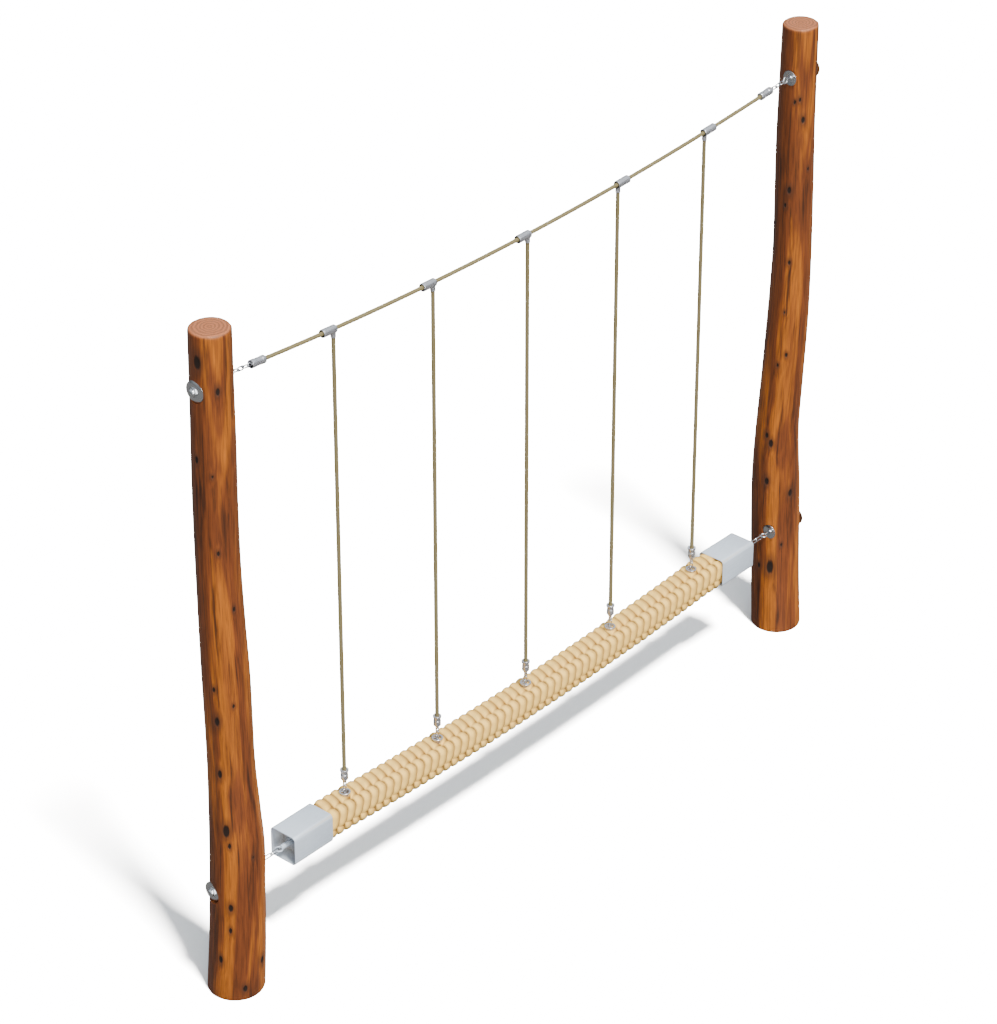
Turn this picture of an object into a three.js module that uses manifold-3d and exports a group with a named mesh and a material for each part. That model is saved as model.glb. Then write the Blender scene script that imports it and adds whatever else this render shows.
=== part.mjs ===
// A rope balance beam for a playground: a thick braided rope beam with steel end sleeves, slung
// between two natural round timber posts. A steel-cored rope runs above it from post to post and
// carries five hand ropes, which hold up the beam through short chain links.
//
// Millimetres, +Z up. X runs from the left post to the right post, and Z = 0 is the ground.

import * as THREE from 'three';
import * as BufferGeometryUtils from 'three/addons/utils/BufferGeometryUtils.js';
import Module from 'manifold-3d';

const wasm = await Module();
wasm.setup();

// ---------------------------------------------------------------- driving dimensions

const GAP = 0.4; // clearance between pieces that touch

// Stations up each post: height, centre x and y from the post's nominal axis, radius.
const POST_SPACING = 3200;
const POST_TOP_ROUNDING = 12;
const POST_SIDES = 20;
const LEFT_POST = [
  [0, 4, -4, 105],
  [240, 2, -24, 102],
  [480, -4, -40, 99],
  [640, 0, -42, 98],
  [980, 4, -27, 85],
  [1340, 7, -16, 84],
  [1800, 4, -5, 78],
  [2240, 6, -7, 77],
  [2705, 9, -10, 74],
];
const RIGHT_POST = [
  [0, 0, 0, 101],
  [240, 14, 24, 99],
  [500, 21, 41, 99],
  [690, 14, 42, 97],
  [900, 6, 38, 88],
  [1400, 14, 17, 82],
  [1740, 16, 11, 77],
  [2260, 10, 15, 74],
  [2690, 9, 12, 70],
];

// The sling: everything hung between the posts is symmetrical about its own middle.
const SLING_X = 8;
const LOWER_EYE_Z = 461;
const SEATS = {
  left_upper: { inner: -1520, outer: -1661 },
  right_upper: { inner: 1546, outer: 1672 },
  left_lower: { inner: -1523, outer: -1684 },
  right_lower: { inner: 1539, outer: 1700 },
};
const INNER_SEAT_R = 32;
const OUTER_SEAT_R = 42;

// Eye bolt, its dished washer, and the cap nut with its wide domed washer.
const BOLT_R = 6;
const EYE_R = 12.5;
const EYE_WIRE_R = 3.5;
const BOLT_FILLET_R = 8;
const DISH = { backR: 13, rimR: 30, depth: 10, wall: 3 };
const WASHER = { r: 40, rim: 4, crownR: 24, crown: 8 };
const NUT = { r: 17, height: 5, domeR: 14.5, dome: 10.5 };
const NUT_DEPTH = 12; // how far the shank reaches into the nut

// Ropes.
const ROPE_R = 8;
const ROPE_SIDES = 10;
const ROPE_STEPS = 40;
const TOP_ROPE_MID_Z = 2415;
const SAG_RATE = 3.235e-5; // rise of the curve is this times the distance from the middle squared
const HAND_ROPE_PITCH = 505;
const HAND_ROPES = 5;

// Tube ferrules pressed on the ropes.
const FERRULE_R = 15.5;
const CHAMFER = 1; // broken edge of a turned or pressed piece
const END_FERRULE = {
  middle: 1377, length: 64, mouth: 18, mouthR: 11.5, wall: 6, crossPin: 8, crossPinR: 4,
};
const TEE = { length: 64, collarR: 10, collarDrop: 31, ropeIn: 12, aside: 24, turnedLeft: 3 };
const LOWER_FERRULE = {
  r: 14.5,
  flangeR: 16.5,
  flange: 6,
  length: 42,
  cone: 6,
  floor: 4, // solid metal below the rope
  holeR: 5,
  lugR: 8.5,
  lugHalf: 2,
  lugBelow: 9.5, // how far the flat lug reaches below and above the middle of its hole
  lugAbove: 19,
};

// Chain links: pitch is the inner length, width the inner width.
const UPPER_LINK = { pitch: 24.2, width: 9, wireR: 2.6 };
const LOWER_LINK = { pitch: 38, width: 10, wireR: 2.5 };
const HANGER_LINK = { pitch: 20, width: 8.5, wireR: 2.25 };
const UPPER_LINKS = 4;
const LOWER_LINKS = 3;
const HANGER_PLAY = 1.2; // room between the two links of a hanger, for the beam to roll

// The braided beam and what is fixed to it.
const BEAM_MID_Z = 424;
const BEAM_HALF = 59;
const BEAM_CORNER = 20;
const BEAM_IN_SLEEVE = 56;
const BEAM_STEPS = 20;
const SLEEVE = { end: 1338, length: 198, half: 61, wall: 4, corner: 16, recess: 60, plate: 6 };
const PIN = { r: 10, eyeOut: 22, eyeR: 14, wireR: 3, slack: 1 };
const SOCKET = {
  r: 19, rimR: 22, rim: 5, height: 34, stand: 13, innerR: 15.5, depth: 21, pinR: 3, pinDrop: 8,
};

// ---------------------------------------------------------------- helpers

const X_AXIS = new THREE.Vector3(1, 0, 0);
const Y_AXIS = new THREE.Vector3(0, 1, 0);
const Z_AXIS = new THREE.Vector3(0, 0, 1);
const RIGHT_ANGLE = Math.PI / 2;

// A closed three.js geometry as a solid that can be cut and joined.
function solid(geometry) {
  const bare = geometry.clone();
  bare.deleteAttribute('normal');
  bare.deleteAttribute('uv');
  const merged = BufferGeometryUtils.mergeVertices(bare, 1e-4);
  return new wasm.Manifold(new wasm.Mesh({
    numProp: 3,
    vertProperties: merged.attributes.position.array,
    triVerts: new Uint32Array(merged.index.array),
  }));
}

// A cut or joined solid back as a geometry.
function geometryOf(manifold) {
  const mesh = manifold.getMesh();
  const geometry = new THREE.BufferGeometry();
  geometry.setAttribute('position', new THREE.BufferAttribute(new Float32Array(mesh.vertProperties), 3));
  geometry.setIndex(new THREE.BufferAttribute(new Uint32Array(mesh.triVerts), 1));
  geometry.computeVertexNormals();
  return geometry;
}

// A cylinder whose middle is at a point and whose length lies along an axis.
function rod(radius, length, axis, middle, sides = 16) {
  const geometry = new THREE.CylinderGeometry(radius, radius, length, sides);
  const turn = new THREE.Quaternion().setFromUnitVectors(Y_AXIS, axis);
  geometry.applyQuaternion(turn);
  return geometry.translate(middle.x, middle.y, middle.z);
}

// A solid of revolution about +X, from [radius, x] points that start and end on the axis.
function turned(points, sides = 16) {
  const profile = points.map(([radius, along]) => new THREE.Vector2(radius, along));
  return new THREE.LatheGeometry(profile, sides).rotateZ(-RIGHT_ANGLE);
}

// A solid of revolution about +Z, from [radius, z] points that start and end on the axis.
function lathed(points, sides = 16) {
  const profile = points.map(([radius, height]) => new THREE.Vector2(radius, height));
  return new THREE.LatheGeometry(profile, sides).rotateX(RIGHT_ANGLE);
}

// A ring of round wire in the plane across an axis.
function wireRing(radius, wireR, axis) {
  const geometry = new THREE.TorusGeometry(radius, wireR, 6, 16);
  return geometry.applyQuaternion(new THREE.Quaternion().setFromUnitVectors(Z_AXIS, axis));
}

// A closed skin through rings that all have the same number of points, with flat end caps.
function loft(rings) {
  const sides = rings[0].length;
  const positions = rings.flat().flatMap((point) => [point.x, point.y, point.z]);
  const index = [];
  for (let ring = 0; ring < rings.length - 1; ring += 1) {
    for (let side = 0; side < sides; side += 1) {
      const here = ring * sides + side;
      const beside = ring * sides + ((side + 1) % sides);
      index.push(here, beside, beside + sides);
      index.push(here, beside + sides, here + sides);
    }
  }
  const last = (rings.length - 1) * sides;
  for (let side = 1; side < sides - 1; side += 1) {
    index.push(0, side + 1, side);
    index.push(last, last + side, last + side + 1);
  }
  const geometry = new THREE.BufferGeometry();
  geometry.setAttribute('position', new THREE.Float32BufferAttribute(positions, 3));
  geometry.setIndex(index);
  geometry.computeVertexNormals();
  return geometry;
}

// A square with rounded corners, as a shape about its middle.
function roundedSquare(half, corner) {
  const shape = new THREE.Shape();
  const flat = half - corner;
  shape.absarc(flat, flat, corner, 0, RIGHT_ANGLE);
  shape.absarc(-flat, flat, corner, RIGHT_ANGLE, 2 * RIGHT_ANGLE);
  shape.absarc(-flat, -flat, corner, 2 * RIGHT_ANGLE, 3 * RIGHT_ANGLE);
  shape.absarc(flat, -flat, corner, 3 * RIGHT_ANGLE, 4 * RIGHT_ANGLE);
  shape.closePath();
  return shape;
}

// How far the sagging curves rise above their lowest point, at a distance from the middle.
function rise(along) {
  return SAG_RATE * along * along;
}

// The beam follows the same curve as far as its last hand rope and levels out before the sleeve.
function beamRise(along) {
  const lastRope = HAND_ROPE_PITCH * (HAND_ROPES - 1) / 2;
  const level = SLEEVE.end - SLEEVE.length - lastRope;
  const past = Math.min(Math.max(Math.abs(along) - lastRope, 0), level);
  const slope = 2 * SAG_RATE * lastRope;
  return rise(Math.min(Math.abs(along), lastRope)) + slope * (past - past * past / (2 * level));
}

// ---------------------------------------------------------------- materials

const COLOURS = {
  timber: ['#96552a', 0.62, 0],
  rope: ['#b7a27c', 0.9, 0],
  braid: ['#e8cf9f', 0.85, 0],
  sleeve_steel: ['#b7bcc2', 0.42, 0.8],
  ferrule: ['#a9adb2', 0.35, 0.9],
  bright_steel: ['#8f9499', 0.3, 0.95],
};

function material(slot) {
  const [color, roughness, metalness] = COLOURS[slot];
  return new THREE.MeshStandardMaterial({ color, roughness, metalness });
}

// ---------------------------------------------------------------- the group

const group = new THREE.Group();
const sling = new THREE.Group();
sling.position.x = SLING_X;
group.add(sling);

function addPiece(parent, name, slot, geometry) {
  const mesh = new THREE.Mesh(geometry, material(slot));
  mesh.name = name;
  parent.add(mesh);
  return mesh;
}

// ---------------------------------------------------------------- where the chains start and end

// The upper chains carry on in line with the end ferrules of the top rope.
const endSlope = Math.atan(2 * SAG_RATE * END_FERRULE.middle);

function chainHeight(along) {
  return TOP_ROPE_MID_Z + rise(END_FERRULE.middle) + (along - END_FERRULE.middle) * Math.tan(endSlope);
}

const crossPinX = END_FERRULE.middle + (END_FERRULE.length / 2 - END_FERRULE.crossPin) * Math.cos(endSlope);
const upperWireIn = END_FERRULE.crossPinR + UPPER_LINK.wireR + GAP;
const upperInnerEnd = crossPinX - upperWireIn * Math.cos(endSlope);
const upperSpan = UPPER_LINKS * UPPER_LINK.pitch + 2 * UPPER_LINK.wireR - (UPPER_LINKS - 1) * GAP;
const upperOuterEnd = upperInnerEnd + upperSpan * Math.cos(endSlope);
const upperEyeX = upperOuterEnd + EYE_R - EYE_WIRE_R - UPPER_LINK.wireR - GAP;
const upperEyeZ = chainHeight(upperOuterEnd);

const pinEyeX = SLEEVE.end + PIN.eyeOut;
const lowerInnerEnd = pinEyeX - PIN.slack;
const lowerSpan = LOWER_LINKS * LOWER_LINK.pitch + 2 * LOWER_LINK.wireR - (LOWER_LINKS - 1) * GAP;
const lowerOuterEnd = lowerInnerEnd + lowerSpan;
const lowerEyeX = lowerOuterEnd + EYE_R - EYE_WIRE_R - LOWER_LINK.wireR - GAP;

// ---------------------------------------------------------------- posts

function post(stations, axisX, seats) {
  const centres = stations.map(([height, x, y]) => new THREE.Vector3(axisX + x, y, height));
  const radii = stations.map(([height, , , radius]) => new THREE.Vector3(radius, 0, height));
  const centreLine = new THREE.CatmullRomCurve3(centres);
  const radiusLine = new THREE.CatmullRomCurve3(radii);
  const rings = [];
  const addRing = (at, radius, height) => {
    const ring = [];
    for (let side = 0; side < POST_SIDES; side += 1) {
      const angle = 2 * Math.PI * side / POST_SIDES;
      ring.push(new THREE.Vector3(at.x + radius * Math.cos(angle), at.y + radius * Math.sin(angle), height));
    }
    rings.push(ring);
  };
  const steps = 2 * (stations.length - 1);
  const top = stations[stations.length - 1][0];
  for (let step = 0; step < steps; step += 1) {
    const at = centreLine.getPoint(step / steps);
    addRing(at, radiusLine.getPoint(step / steps).x, at.z);
  }
  const topCentre = centres[centres.length - 1];
  const topRadius = stations[stations.length - 1][3];
  for (const angle of [0, 30, 60, 90]) {
    const turn = THREE.MathUtils.degToRad(angle);
    const inset = POST_TOP_ROUNDING * (1 - Math.cos(turn));
    const below = POST_TOP_ROUNDING * (1 - Math.sin(turn));
    addRing(topCentre, topRadius - inset, top - below);
  }
  let wood = solid(loft(rings));
  const drillLength = 4 * stations[0][3];
  for (const { height, inner, outer } of seats) {
    const inwards = Math.sign(inner - axisX);
    const middle = new THREE.Vector3(axisX, 0, height);
    wood = wood.subtract(solid(rod(BOLT_R + GAP, drillLength, X_AXIS, middle)));
    const innerCut = new THREE.Vector3(inner + inwards * drillLength / 2, 0, height);
    const outerCut = new THREE.Vector3(outer - inwards * drillLength / 2, 0, height);
    wood = wood.subtract(solid(rod(INNER_SEAT_R, drillLength, X_AXIS, innerCut)));
    wood = wood.subtract(solid(rod(OUTER_SEAT_R, drillLength, X_AXIS, outerCut)));
  }
  return geometryOf(wood);
}

addPiece(group, 'post_left', 'timber', post(LEFT_POST, -POST_SPACING / 2, [
  { height: upperEyeZ, ...SEATS.left_upper },
  { height: LOWER_EYE_Z, ...SEATS.left_lower },
]));
addPiece(group, 'post_right', 'timber', post(RIGHT_POST, POST_SPACING / 2, [
  { height: upperEyeZ, ...SEATS.right_upper },
  { height: LOWER_EYE_Z, ...SEATS.right_lower },
]));

// ---------------------------------------------------------------- eye bolts and cap nuts

// Along +X from the seat: shank behind, dished washer on the seat, neck, then the eye.
function eyeBolt(standOff, shank, eyeAxis) {
  const neckEnd = standOff - EYE_R + EYE_WIRE_R / 2;
  const { backR, rimR, depth, wall } = DISH;
  const stem = solid(turned([
    [0, -shank],
    [BOLT_R, -shank],
    [BOLT_R, GAP],
    [backR, GAP],
    [rimR, GAP + depth - wall],
    [rimR, GAP + depth],
    [backR, GAP + wall],
    [BOLT_FILLET_R, GAP + wall],
    [BOLT_R, GAP + wall + BOLT_FILLET_R / 2],
    [BOLT_R, neckEnd],
    [0, neckEnd],
  ]));
  const ring = wireRing(EYE_R, EYE_WIRE_R, eyeAxis).translate(standOff, 0, 0);
  return geometryOf(stem.add(solid(ring)));
}

// Along +X from the outer seat: domed washer, hexagon, dome, with a blind bore for the shank.
function capNut() {
  const { r, rim, crownR, crown } = WASHER;
  const washer = solid(turned([
    [0, GAP],
    [r, GAP],
    [r, rim / 2],
    [(r + crownR) / 2, (rim + crown) / 2],
    [crownR, crown],
    [0, crown],
  ]));
  const hexMiddle = new THREE.Vector3(crown + NUT.height / 2, 0, 0);
  const hexagon = solid(rod(NUT.r, NUT.height + GAP, X_AXIS, hexMiddle, 6));
  const dome = new THREE.SphereGeometry(NUT.domeR, 12, 8).scale(NUT.dome / NUT.domeR, 1, 1);
  dome.translate(crown + NUT.height, 0, 0);
  const bore = rod(BOLT_R + GAP, 2 * NUT_DEPTH, X_AXIS, new THREE.Vector3(0, 0, 0));
  return geometryOf(washer.add(hexagon).add(solid(dome)).subtract(solid(bore)));
}

for (const [place, seat] of Object.entries(SEATS)) {
  const upper = place.endsWith('upper');
  const height = upper ? upperEyeZ : LOWER_EYE_Z;
  const inwards = Math.sign(seat.inner - seat.outer);
  const eyeX = SLING_X - inwards * (upper ? upperEyeX : lowerEyeX);
  const standOff = Math.abs(eyeX - seat.inner);
  const shank = Math.abs(seat.outer - seat.inner) + NUT_DEPTH - GAP;
  const facing = inwards > 0 ? 0 : Math.PI;
  const bolt = addPiece(group, `eye_bolt_${place}`, 'bright_steel',
    eyeBolt(standOff, shank, upper ? Y_AXIS : Z_AXIS));
  bolt.position.set(seat.inner, 0, height);
  bolt.rotation.z = facing;
  const nut = addPiece(group, `cap_nut_${place}`, 'bright_steel', capNut());
  nut.position.set(seat.outer, 0, height);
  nut.rotation.z = Math.PI - facing;
}

// ---------------------------------------------------------------- chain links

// Rings of wire round a link's centre line, closed on themselves: half a circle of wire at each
// end, joined by straight sides. The link lies in the XY plane, longest along X.
function linkGeometry({ pitch, width, wireR }) {
  const bend = width / 2 + wireR;
  const half = pitch / 2 + wireR - bend;
  const arcSteps = 4;
  const sides = 6;
  const stations = [];
  for (const end of [0, 1]) {
    for (let step = 0; step <= arcSteps; step += 1) {
      const angle = Math.PI * (end + step / arcSteps) - RIGHT_ANGLE;
      stations.push({ angle, centre: end === 0 ? half : -half });
    }
  }
  const positions = [];
  const index = [];
  stations.forEach(({ angle, centre }, station) => {
    for (let side = 0; side < sides; side += 1) {
      const around = 2 * Math.PI * side / sides;
      const radius = bend + wireR * Math.cos(around);
      positions.push(centre + radius * Math.cos(angle), radius * Math.sin(angle), wireR * Math.sin(around));
      const next = ((station + 1) % stations.length) * sides;
      const here = station * sides;
      const beside = (side + 1) % sides;
      index.push(here + side, next + beside, here + beside);
      index.push(here + side, next + side, next + beside);
    }
  });
  const geometry = new THREE.BufferGeometry();
  geometry.setAttribute('position', new THREE.Float32BufferAttribute(positions, 3));
  geometry.setIndex(index);
  geometry.computeVertexNormals();
  return geometry;
}

// A run of links from one end to the other, each turned a right angle from its neighbour.
// A link whose roll is 0 lies flat, in the XY plane when the run is level.
function chainRun(parent, name, link, count, from, to, firstRoll) {
  const direction = to.clone().sub(from).normalize();
  const step = link.pitch - GAP;
  const first = link.pitch / 2 + link.wireR;
  const heading = new THREE.Quaternion().setFromUnitVectors(X_AXIS, direction);
  for (let number = 0; number < count; number += 1) {
    const mesh = addPiece(parent, `${name}_${number + 1}`, 'bright_steel', linkGeometry(link));
    const roll = firstRoll + number * RIGHT_ANGLE;
    mesh.position.copy(from).addScaledVector(direction, first + number * step);
    mesh.quaternion.copy(heading).multiply(new THREE.Quaternion().setFromAxisAngle(X_AXIS, roll));
  }
}

for (const [side, sign] of [['left', -1], ['right', 1]]) {
  const eyeEnd = new THREE.Vector3(sign * upperOuterEnd, 0, upperEyeZ);
  const ferruleEnd = new THREE.Vector3(sign * upperInnerEnd, 0, chainHeight(upperInnerEnd));
  chainRun(sling, `upper_chain_link_${side}`, UPPER_LINK, UPPER_LINKS, eyeEnd, ferruleEnd, 0);
  const postEnd = new THREE.Vector3(sign * lowerOuterEnd, 0, LOWER_EYE_Z);
  const beamEnd = new THREE.Vector3(sign * lowerInnerEnd, 0, LOWER_EYE_Z);
  chainRun(sling, `lower_chain_link_${side}`, LOWER_LINK, LOWER_LINKS, postEnd, beamEnd, RIGHT_ANGLE);
}

// ---------------------------------------------------------------- top rope and its ferrules

class SagCurve extends THREE.Curve {
  constructor(reach, lowest) {
    super();
    this.reach = reach;
    this.lowest = lowest;
  }

  getPoint(t) {
    const along = this.reach * (2 * t - 1);
    return new THREE.Vector3(along, 0, this.lowest + rise(along));
  }
}

function circle(radius, sides) {
  const points = [];
  for (let side = 0; side < sides; side += 1) {
    const angle = 2 * Math.PI * side / sides;
    points.push(new THREE.Vector2(radius * Math.cos(angle), radius * Math.sin(angle)));
  }
  return new THREE.Shape(points);
}

const ropeReach = END_FERRULE.middle + END_FERRULE.length / 2 - END_FERRULE.mouth - END_FERRULE.wall;
const topRope = new THREE.ExtrudeGeometry(circle(ROPE_R, ROPE_SIDES), {
  steps: ROPE_STEPS,
  extrudePath: new SagCurve(ropeReach, TOP_ROPE_MID_Z),
  bevelEnabled: false,
});
addPiece(sling, 'top_rope', 'rope', topRope);

// Along +X, towards the post: bored for the rope behind, a mouth with a cross pin in front.
function endFerrule() {
  const { length, mouth, mouthR, wall, crossPin, crossPinR } = END_FERRULE;
  const half = length / 2;
  const body = solid(turned([
    [0, -half],
    [FERRULE_R - 2 * CHAMFER, -half],
    [FERRULE_R, 2 * CHAMFER - half],
    [FERRULE_R, half - CHAMFER],
    [FERRULE_R - CHAMFER, half],
    [0, half],
  ]));
  const ropeBoreEnd = half - mouth - wall + 2 * GAP;
  const ropeBore = rod(ROPE_R + GAP, length, X_AXIS, new THREE.Vector3(ropeBoreEnd - half, 0, 0));
  const mouthBore = rod(mouthR, 2 * mouth, X_AXIS, new THREE.Vector3(half, 0, 0));
  const pinLength = FERRULE_R + mouthR;
  const pin = rod(crossPinR, pinLength, Y_AXIS, new THREE.Vector3(half - crossPin, 0, 0), 12);
  return geometryOf(body.subtract(solid(ropeBore)).subtract(solid(mouthBore)).add(solid(pin)));
}

for (const [side, sign] of [['left', -1], ['right', 1]]) {
  const ferrule = addPiece(sling, `end_ferrule_${side}`, 'ferrule', endFerrule());
  const towardsPost = new THREE.Vector3(sign * Math.cos(endSlope), 0, Math.sin(endSlope));
  ferrule.position.set(sign * END_FERRULE.middle, 0, chainHeight(END_FERRULE.middle));
  ferrule.quaternion.setFromUnitVectors(X_AXIS, towardsPost);
}

// ---------------------------------------------------------------- hand ropes

// The tube follows the top rope's slope and the collar hangs straight down, to one side.
function teeFerrule(slope, aside) {
  const tube = rod(FERRULE_R, TEE.length, X_AXIS, new THREE.Vector3(-aside, 0, 0)).rotateY(-slope);
  const collarMiddle = new THREE.Vector3(0, 0, -TEE.collarDrop / 2);
  const collar = rod(TEE.collarR, TEE.collarDrop, Z_AXIS, collarMiddle);
  const bore = rod(ROPE_R + GAP, 2 * TEE.length, X_AXIS, new THREE.Vector3(0, 0, 0), 24).rotateY(-slope);
  const ropeMiddle = new THREE.Vector3(0, 0, -TEE.ropeIn + GAP - TEE.length / 2);
  const collarBore = rod(ROPE_R + GAP, TEE.length, Z_AXIS, ropeMiddle);
  return geometryOf(solid(tube).add(solid(collar)).subtract(solid(bore)).subtract(solid(collarBore)));
}

// Upright, with its lug's hole at the origin and the rope's bore open at the top.
const ferruleFoot = LOWER_FERRULE.lugAbove + LOWER_FERRULE.cone;
const ferruleTop = ferruleFoot + LOWER_FERRULE.length;
const ropeFoot = ferruleFoot + LOWER_FERRULE.floor;

function lowerFerrule() {
  const { r, flangeR, flange, length, lugR, lugHalf, lugBelow, lugAbove, holeR } = LOWER_FERRULE;
  const lugRounding = holeR / 2;
  const body = solid(lathed([
    [0, -lugBelow],
    [lugR - lugRounding, -lugBelow],
    [lugR, lugRounding - lugBelow],
    [lugR, lugAbove],
    [r, ferruleFoot],
    [r, ferruleTop - flange],
    [flangeR, ferruleTop - flange + CHAMFER],
    [flangeR, ferruleTop - CHAMFER],
    [flangeR - CHAMFER, ferruleTop],
    [0, ferruleTop],
  ]));
  const boreMiddle = new THREE.Vector3(0, 0, ropeFoot - GAP + length / 2);
  const bore = rod(ROPE_R + GAP, length, Z_AXIS, boreMiddle);
  const hole = rod(holeR, 3 * lugR, Y_AXIS, new THREE.Vector3(0, 0, 0), 16);
  const cheekWidth = 2 * r;
  const cheeks = new THREE.BoxGeometry(cheekWidth, cheekWidth, lugBelow + lugAbove - CHAMFER);
  const cheekY = lugHalf + cheekWidth / 2;
  const cheekZ = (lugAbove - CHAMFER - lugBelow) / 2;
  let lug = body.subtract(solid(bore)).subtract(solid(hole));
  for (const sign of [1, -1]) {
    lug = lug.subtract(solid(cheeks.clone().translate(0, sign * cheekY, cheekZ)));
  }
  return geometryOf(lug);
}

// A cup let into the beam, with a cross pin for the lower link; the origin is the pin's middle.
function socket() {
  const { r, rimR, rim, height, innerR, depth, pinR, pinDrop } = SOCKET;
  const body = solid(lathed([
    [0, pinDrop - height],
    [r - 2 * CHAMFER, pinDrop - height],
    [r, pinDrop - height + 2 * CHAMFER],
    [r, pinDrop - rim],
    [rimR, pinDrop - rim + CHAMFER],
    [rimR, pinDrop - CHAMFER],
    [rimR - CHAMFER, pinDrop],
    [0, pinDrop],
  ]));
  const cup = rod(innerR, 2 * depth, Z_AXIS, new THREE.Vector3(0, 0, pinDrop));
  const pin = rod(pinR, r + innerR, Y_AXIS, new THREE.Vector3(0, 0, 0), 12);
  return geometryOf(body.subtract(solid(cup)).add(solid(pin)));
}

const socketPinZ = BEAM_MID_Z + BEAM_HALF + SOCKET.stand - SOCKET.pinDrop;
const linkHalf = HANGER_LINK.pitch / 2 + HANGER_LINK.wireR;
const lowLinkZ = socketPinZ - SOCKET.pinR - HANGER_LINK.wireR - GAP + linkHalf;
const highLinkZ = lowLinkZ + HANGER_LINK.pitch - HANGER_PLAY;
const lugZ = highLinkZ + linkHalf + LOWER_FERRULE.holeR - HANGER_LINK.wireR - 2 * GAP;

const upright = new THREE.Quaternion().setFromUnitVectors(X_AXIS, Z_AXIS);
for (let number = 1; number <= HAND_ROPES; number += 1) {
  const along = HAND_ROPE_PITCH * (number - (HAND_ROPES + 1) / 2);
  const lift = rise(along);
  const slope = Math.atan(2 * SAG_RATE * along);
  const aside = number <= TEE.turnedLeft ? TEE.aside : -TEE.aside;

  const tee = addPiece(sling, `tee_ferrule_${number}`, 'ferrule', teeFerrule(slope, aside));
  tee.position.set(along, 0, TOP_ROPE_MID_Z + lift);

  const ropeTop = TOP_ROPE_MID_Z - TEE.ropeIn - GAP;
  const ropeBottom = lugZ + ropeFoot;
  const ropeMiddle = new THREE.Vector3(0, 0, (ropeTop + ropeBottom) / 2);
  const ropeShape = rod(ROPE_R, ropeTop - ropeBottom, Z_AXIS, ropeMiddle, 12);
  const rope = addPiece(sling, `hand_rope_${number}`, 'rope', ropeShape);
  rope.position.set(along, 0, lift);

  const foot = addPiece(sling, `rope_end_ferrule_${number}`, 'ferrule', lowerFerrule());
  foot.position.set(along, 0, lugZ + lift);

  const highLink = addPiece(sling, `hanger_link_upper_${number}`, 'bright_steel', linkGeometry(HANGER_LINK));
  highLink.position.set(along, 0, highLinkZ + lift);
  highLink.quaternion.copy(upright);
  const lowLink = addPiece(sling, `hanger_link_lower_${number}`, 'bright_steel', linkGeometry(HANGER_LINK));
  lowLink.position.set(along, 0, lowLinkZ + lift);
  lowLink.quaternion.copy(upright).multiply(new THREE.Quaternion().setFromAxisAngle(X_AXIS, RIGHT_ANGLE));

  const cup = addPiece(sling, `beam_socket_${number}`, 'ferrule', socket());
  cup.position.set(along, 0, socketPinZ + lift);
}

// ---------------------------------------------------------------- braided beam and end sleeves

function beamRing(along, half, corner) {
  const points = roundedSquare(half, corner).extractPoints(2).shape.slice(0, -1);
  return points.map((point) => new THREE.Vector3(along, point.x, BEAM_MID_Z + beamRise(along) + point.y));
}

function braidedBeam() {
  const hidden = SLEEVE.end - SLEEVE.recess - SLEEVE.plate - GAP;
  const mouth = SLEEVE.end - SLEEVE.length - 2 * GAP;
  const rings = [];
  rings.push(beamRing(-hidden, BEAM_IN_SLEEVE, BEAM_CORNER));
  rings.push(beamRing(-mouth - GAP, BEAM_IN_SLEEVE, BEAM_CORNER));
  for (let step = 0; step <= BEAM_STEPS; step += 1) {
    rings.push(beamRing(mouth * (2 * step / BEAM_STEPS - 1), BEAM_HALF, BEAM_CORNER));
  }
  rings.push(beamRing(mouth + GAP, BEAM_IN_SLEEVE, BEAM_CORNER));
  rings.push(beamRing(hidden, BEAM_IN_SLEEVE, BEAM_CORNER));
  let beam = solid(loft(rings));
  const pocketFoot = SOCKET.pinDrop - SOCKET.height - GAP;
  const pocketTop = BEAM_HALF;
  for (let number = 1; number <= HAND_ROPES; number += 1) {
    const along = HAND_ROPE_PITCH * (number - (HAND_ROPES + 1) / 2);
    const middle = socketPinZ + rise(along) + (pocketFoot + pocketTop) / 2;
    const pocket = rod(SOCKET.r + GAP, pocketTop - pocketFoot, Z_AXIS, new THREE.Vector3(along, 0, middle));
    beam = beam.subtract(solid(pocket));
  }
  return geometryOf(beam);
}

addPiece(sling, 'braided_beam', 'braid', braidedBeam());

// Along +X, with the open end's face at the origin: tube, recessed plate, pin and its eye.
function sleeve() {
  const { length, half, wall, corner, recess, plate } = SLEEVE;
  const section = roundedSquare(half, corner);
  section.holes.push(roundedSquare(half - wall, corner - wall));
  const along = new THREE.Matrix4().makeBasis(Y_AXIS, Z_AXIS, X_AXIS);
  const tube = new THREE.ExtrudeGeometry(section, { depth: length, bevelEnabled: false, curveSegments: 3 });
  tube.applyMatrix4(along).translate(-length, 0, 0);
  const web = new THREE.ExtrudeGeometry(roundedSquare(half - wall / 2, corner - wall / 2), {
    depth: plate,
    bevelEnabled: false,
    curveSegments: 2,
  });
  web.applyMatrix4(along).translate(-recess - plate, 0, 0);
  const pinStart = -recess - plate / 2;
  const pinEnd = PIN.eyeOut - PIN.eyeR + PIN.wireR / 2;
  const pinMiddle = new THREE.Vector3((pinStart + pinEnd) / 2, 0, 0);
  const pin = rod(PIN.r, pinEnd - pinStart, X_AXIS, pinMiddle);
  const eye = wireRing(PIN.eyeR, PIN.wireR, Z_AXIS).translate(PIN.eyeOut, 0, 0);
  return geometryOf(solid(tube).add(solid(web)).add(solid(pin)).add(solid(eye)));
}

for (const [side, sign] of [['left', -1], ['right', 1]]) {
  const mesh = addPiece(sling, `end_sleeve_${side}`, 'sleeve_steel', sleeve());
  mesh.position.set(sign * SLEEVE.end, 0, BEAM_MID_Z + beamRise(SLEEVE.end));
  mesh.rotation.z = sign > 0 ? 0 : Math.PI;
}

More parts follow.
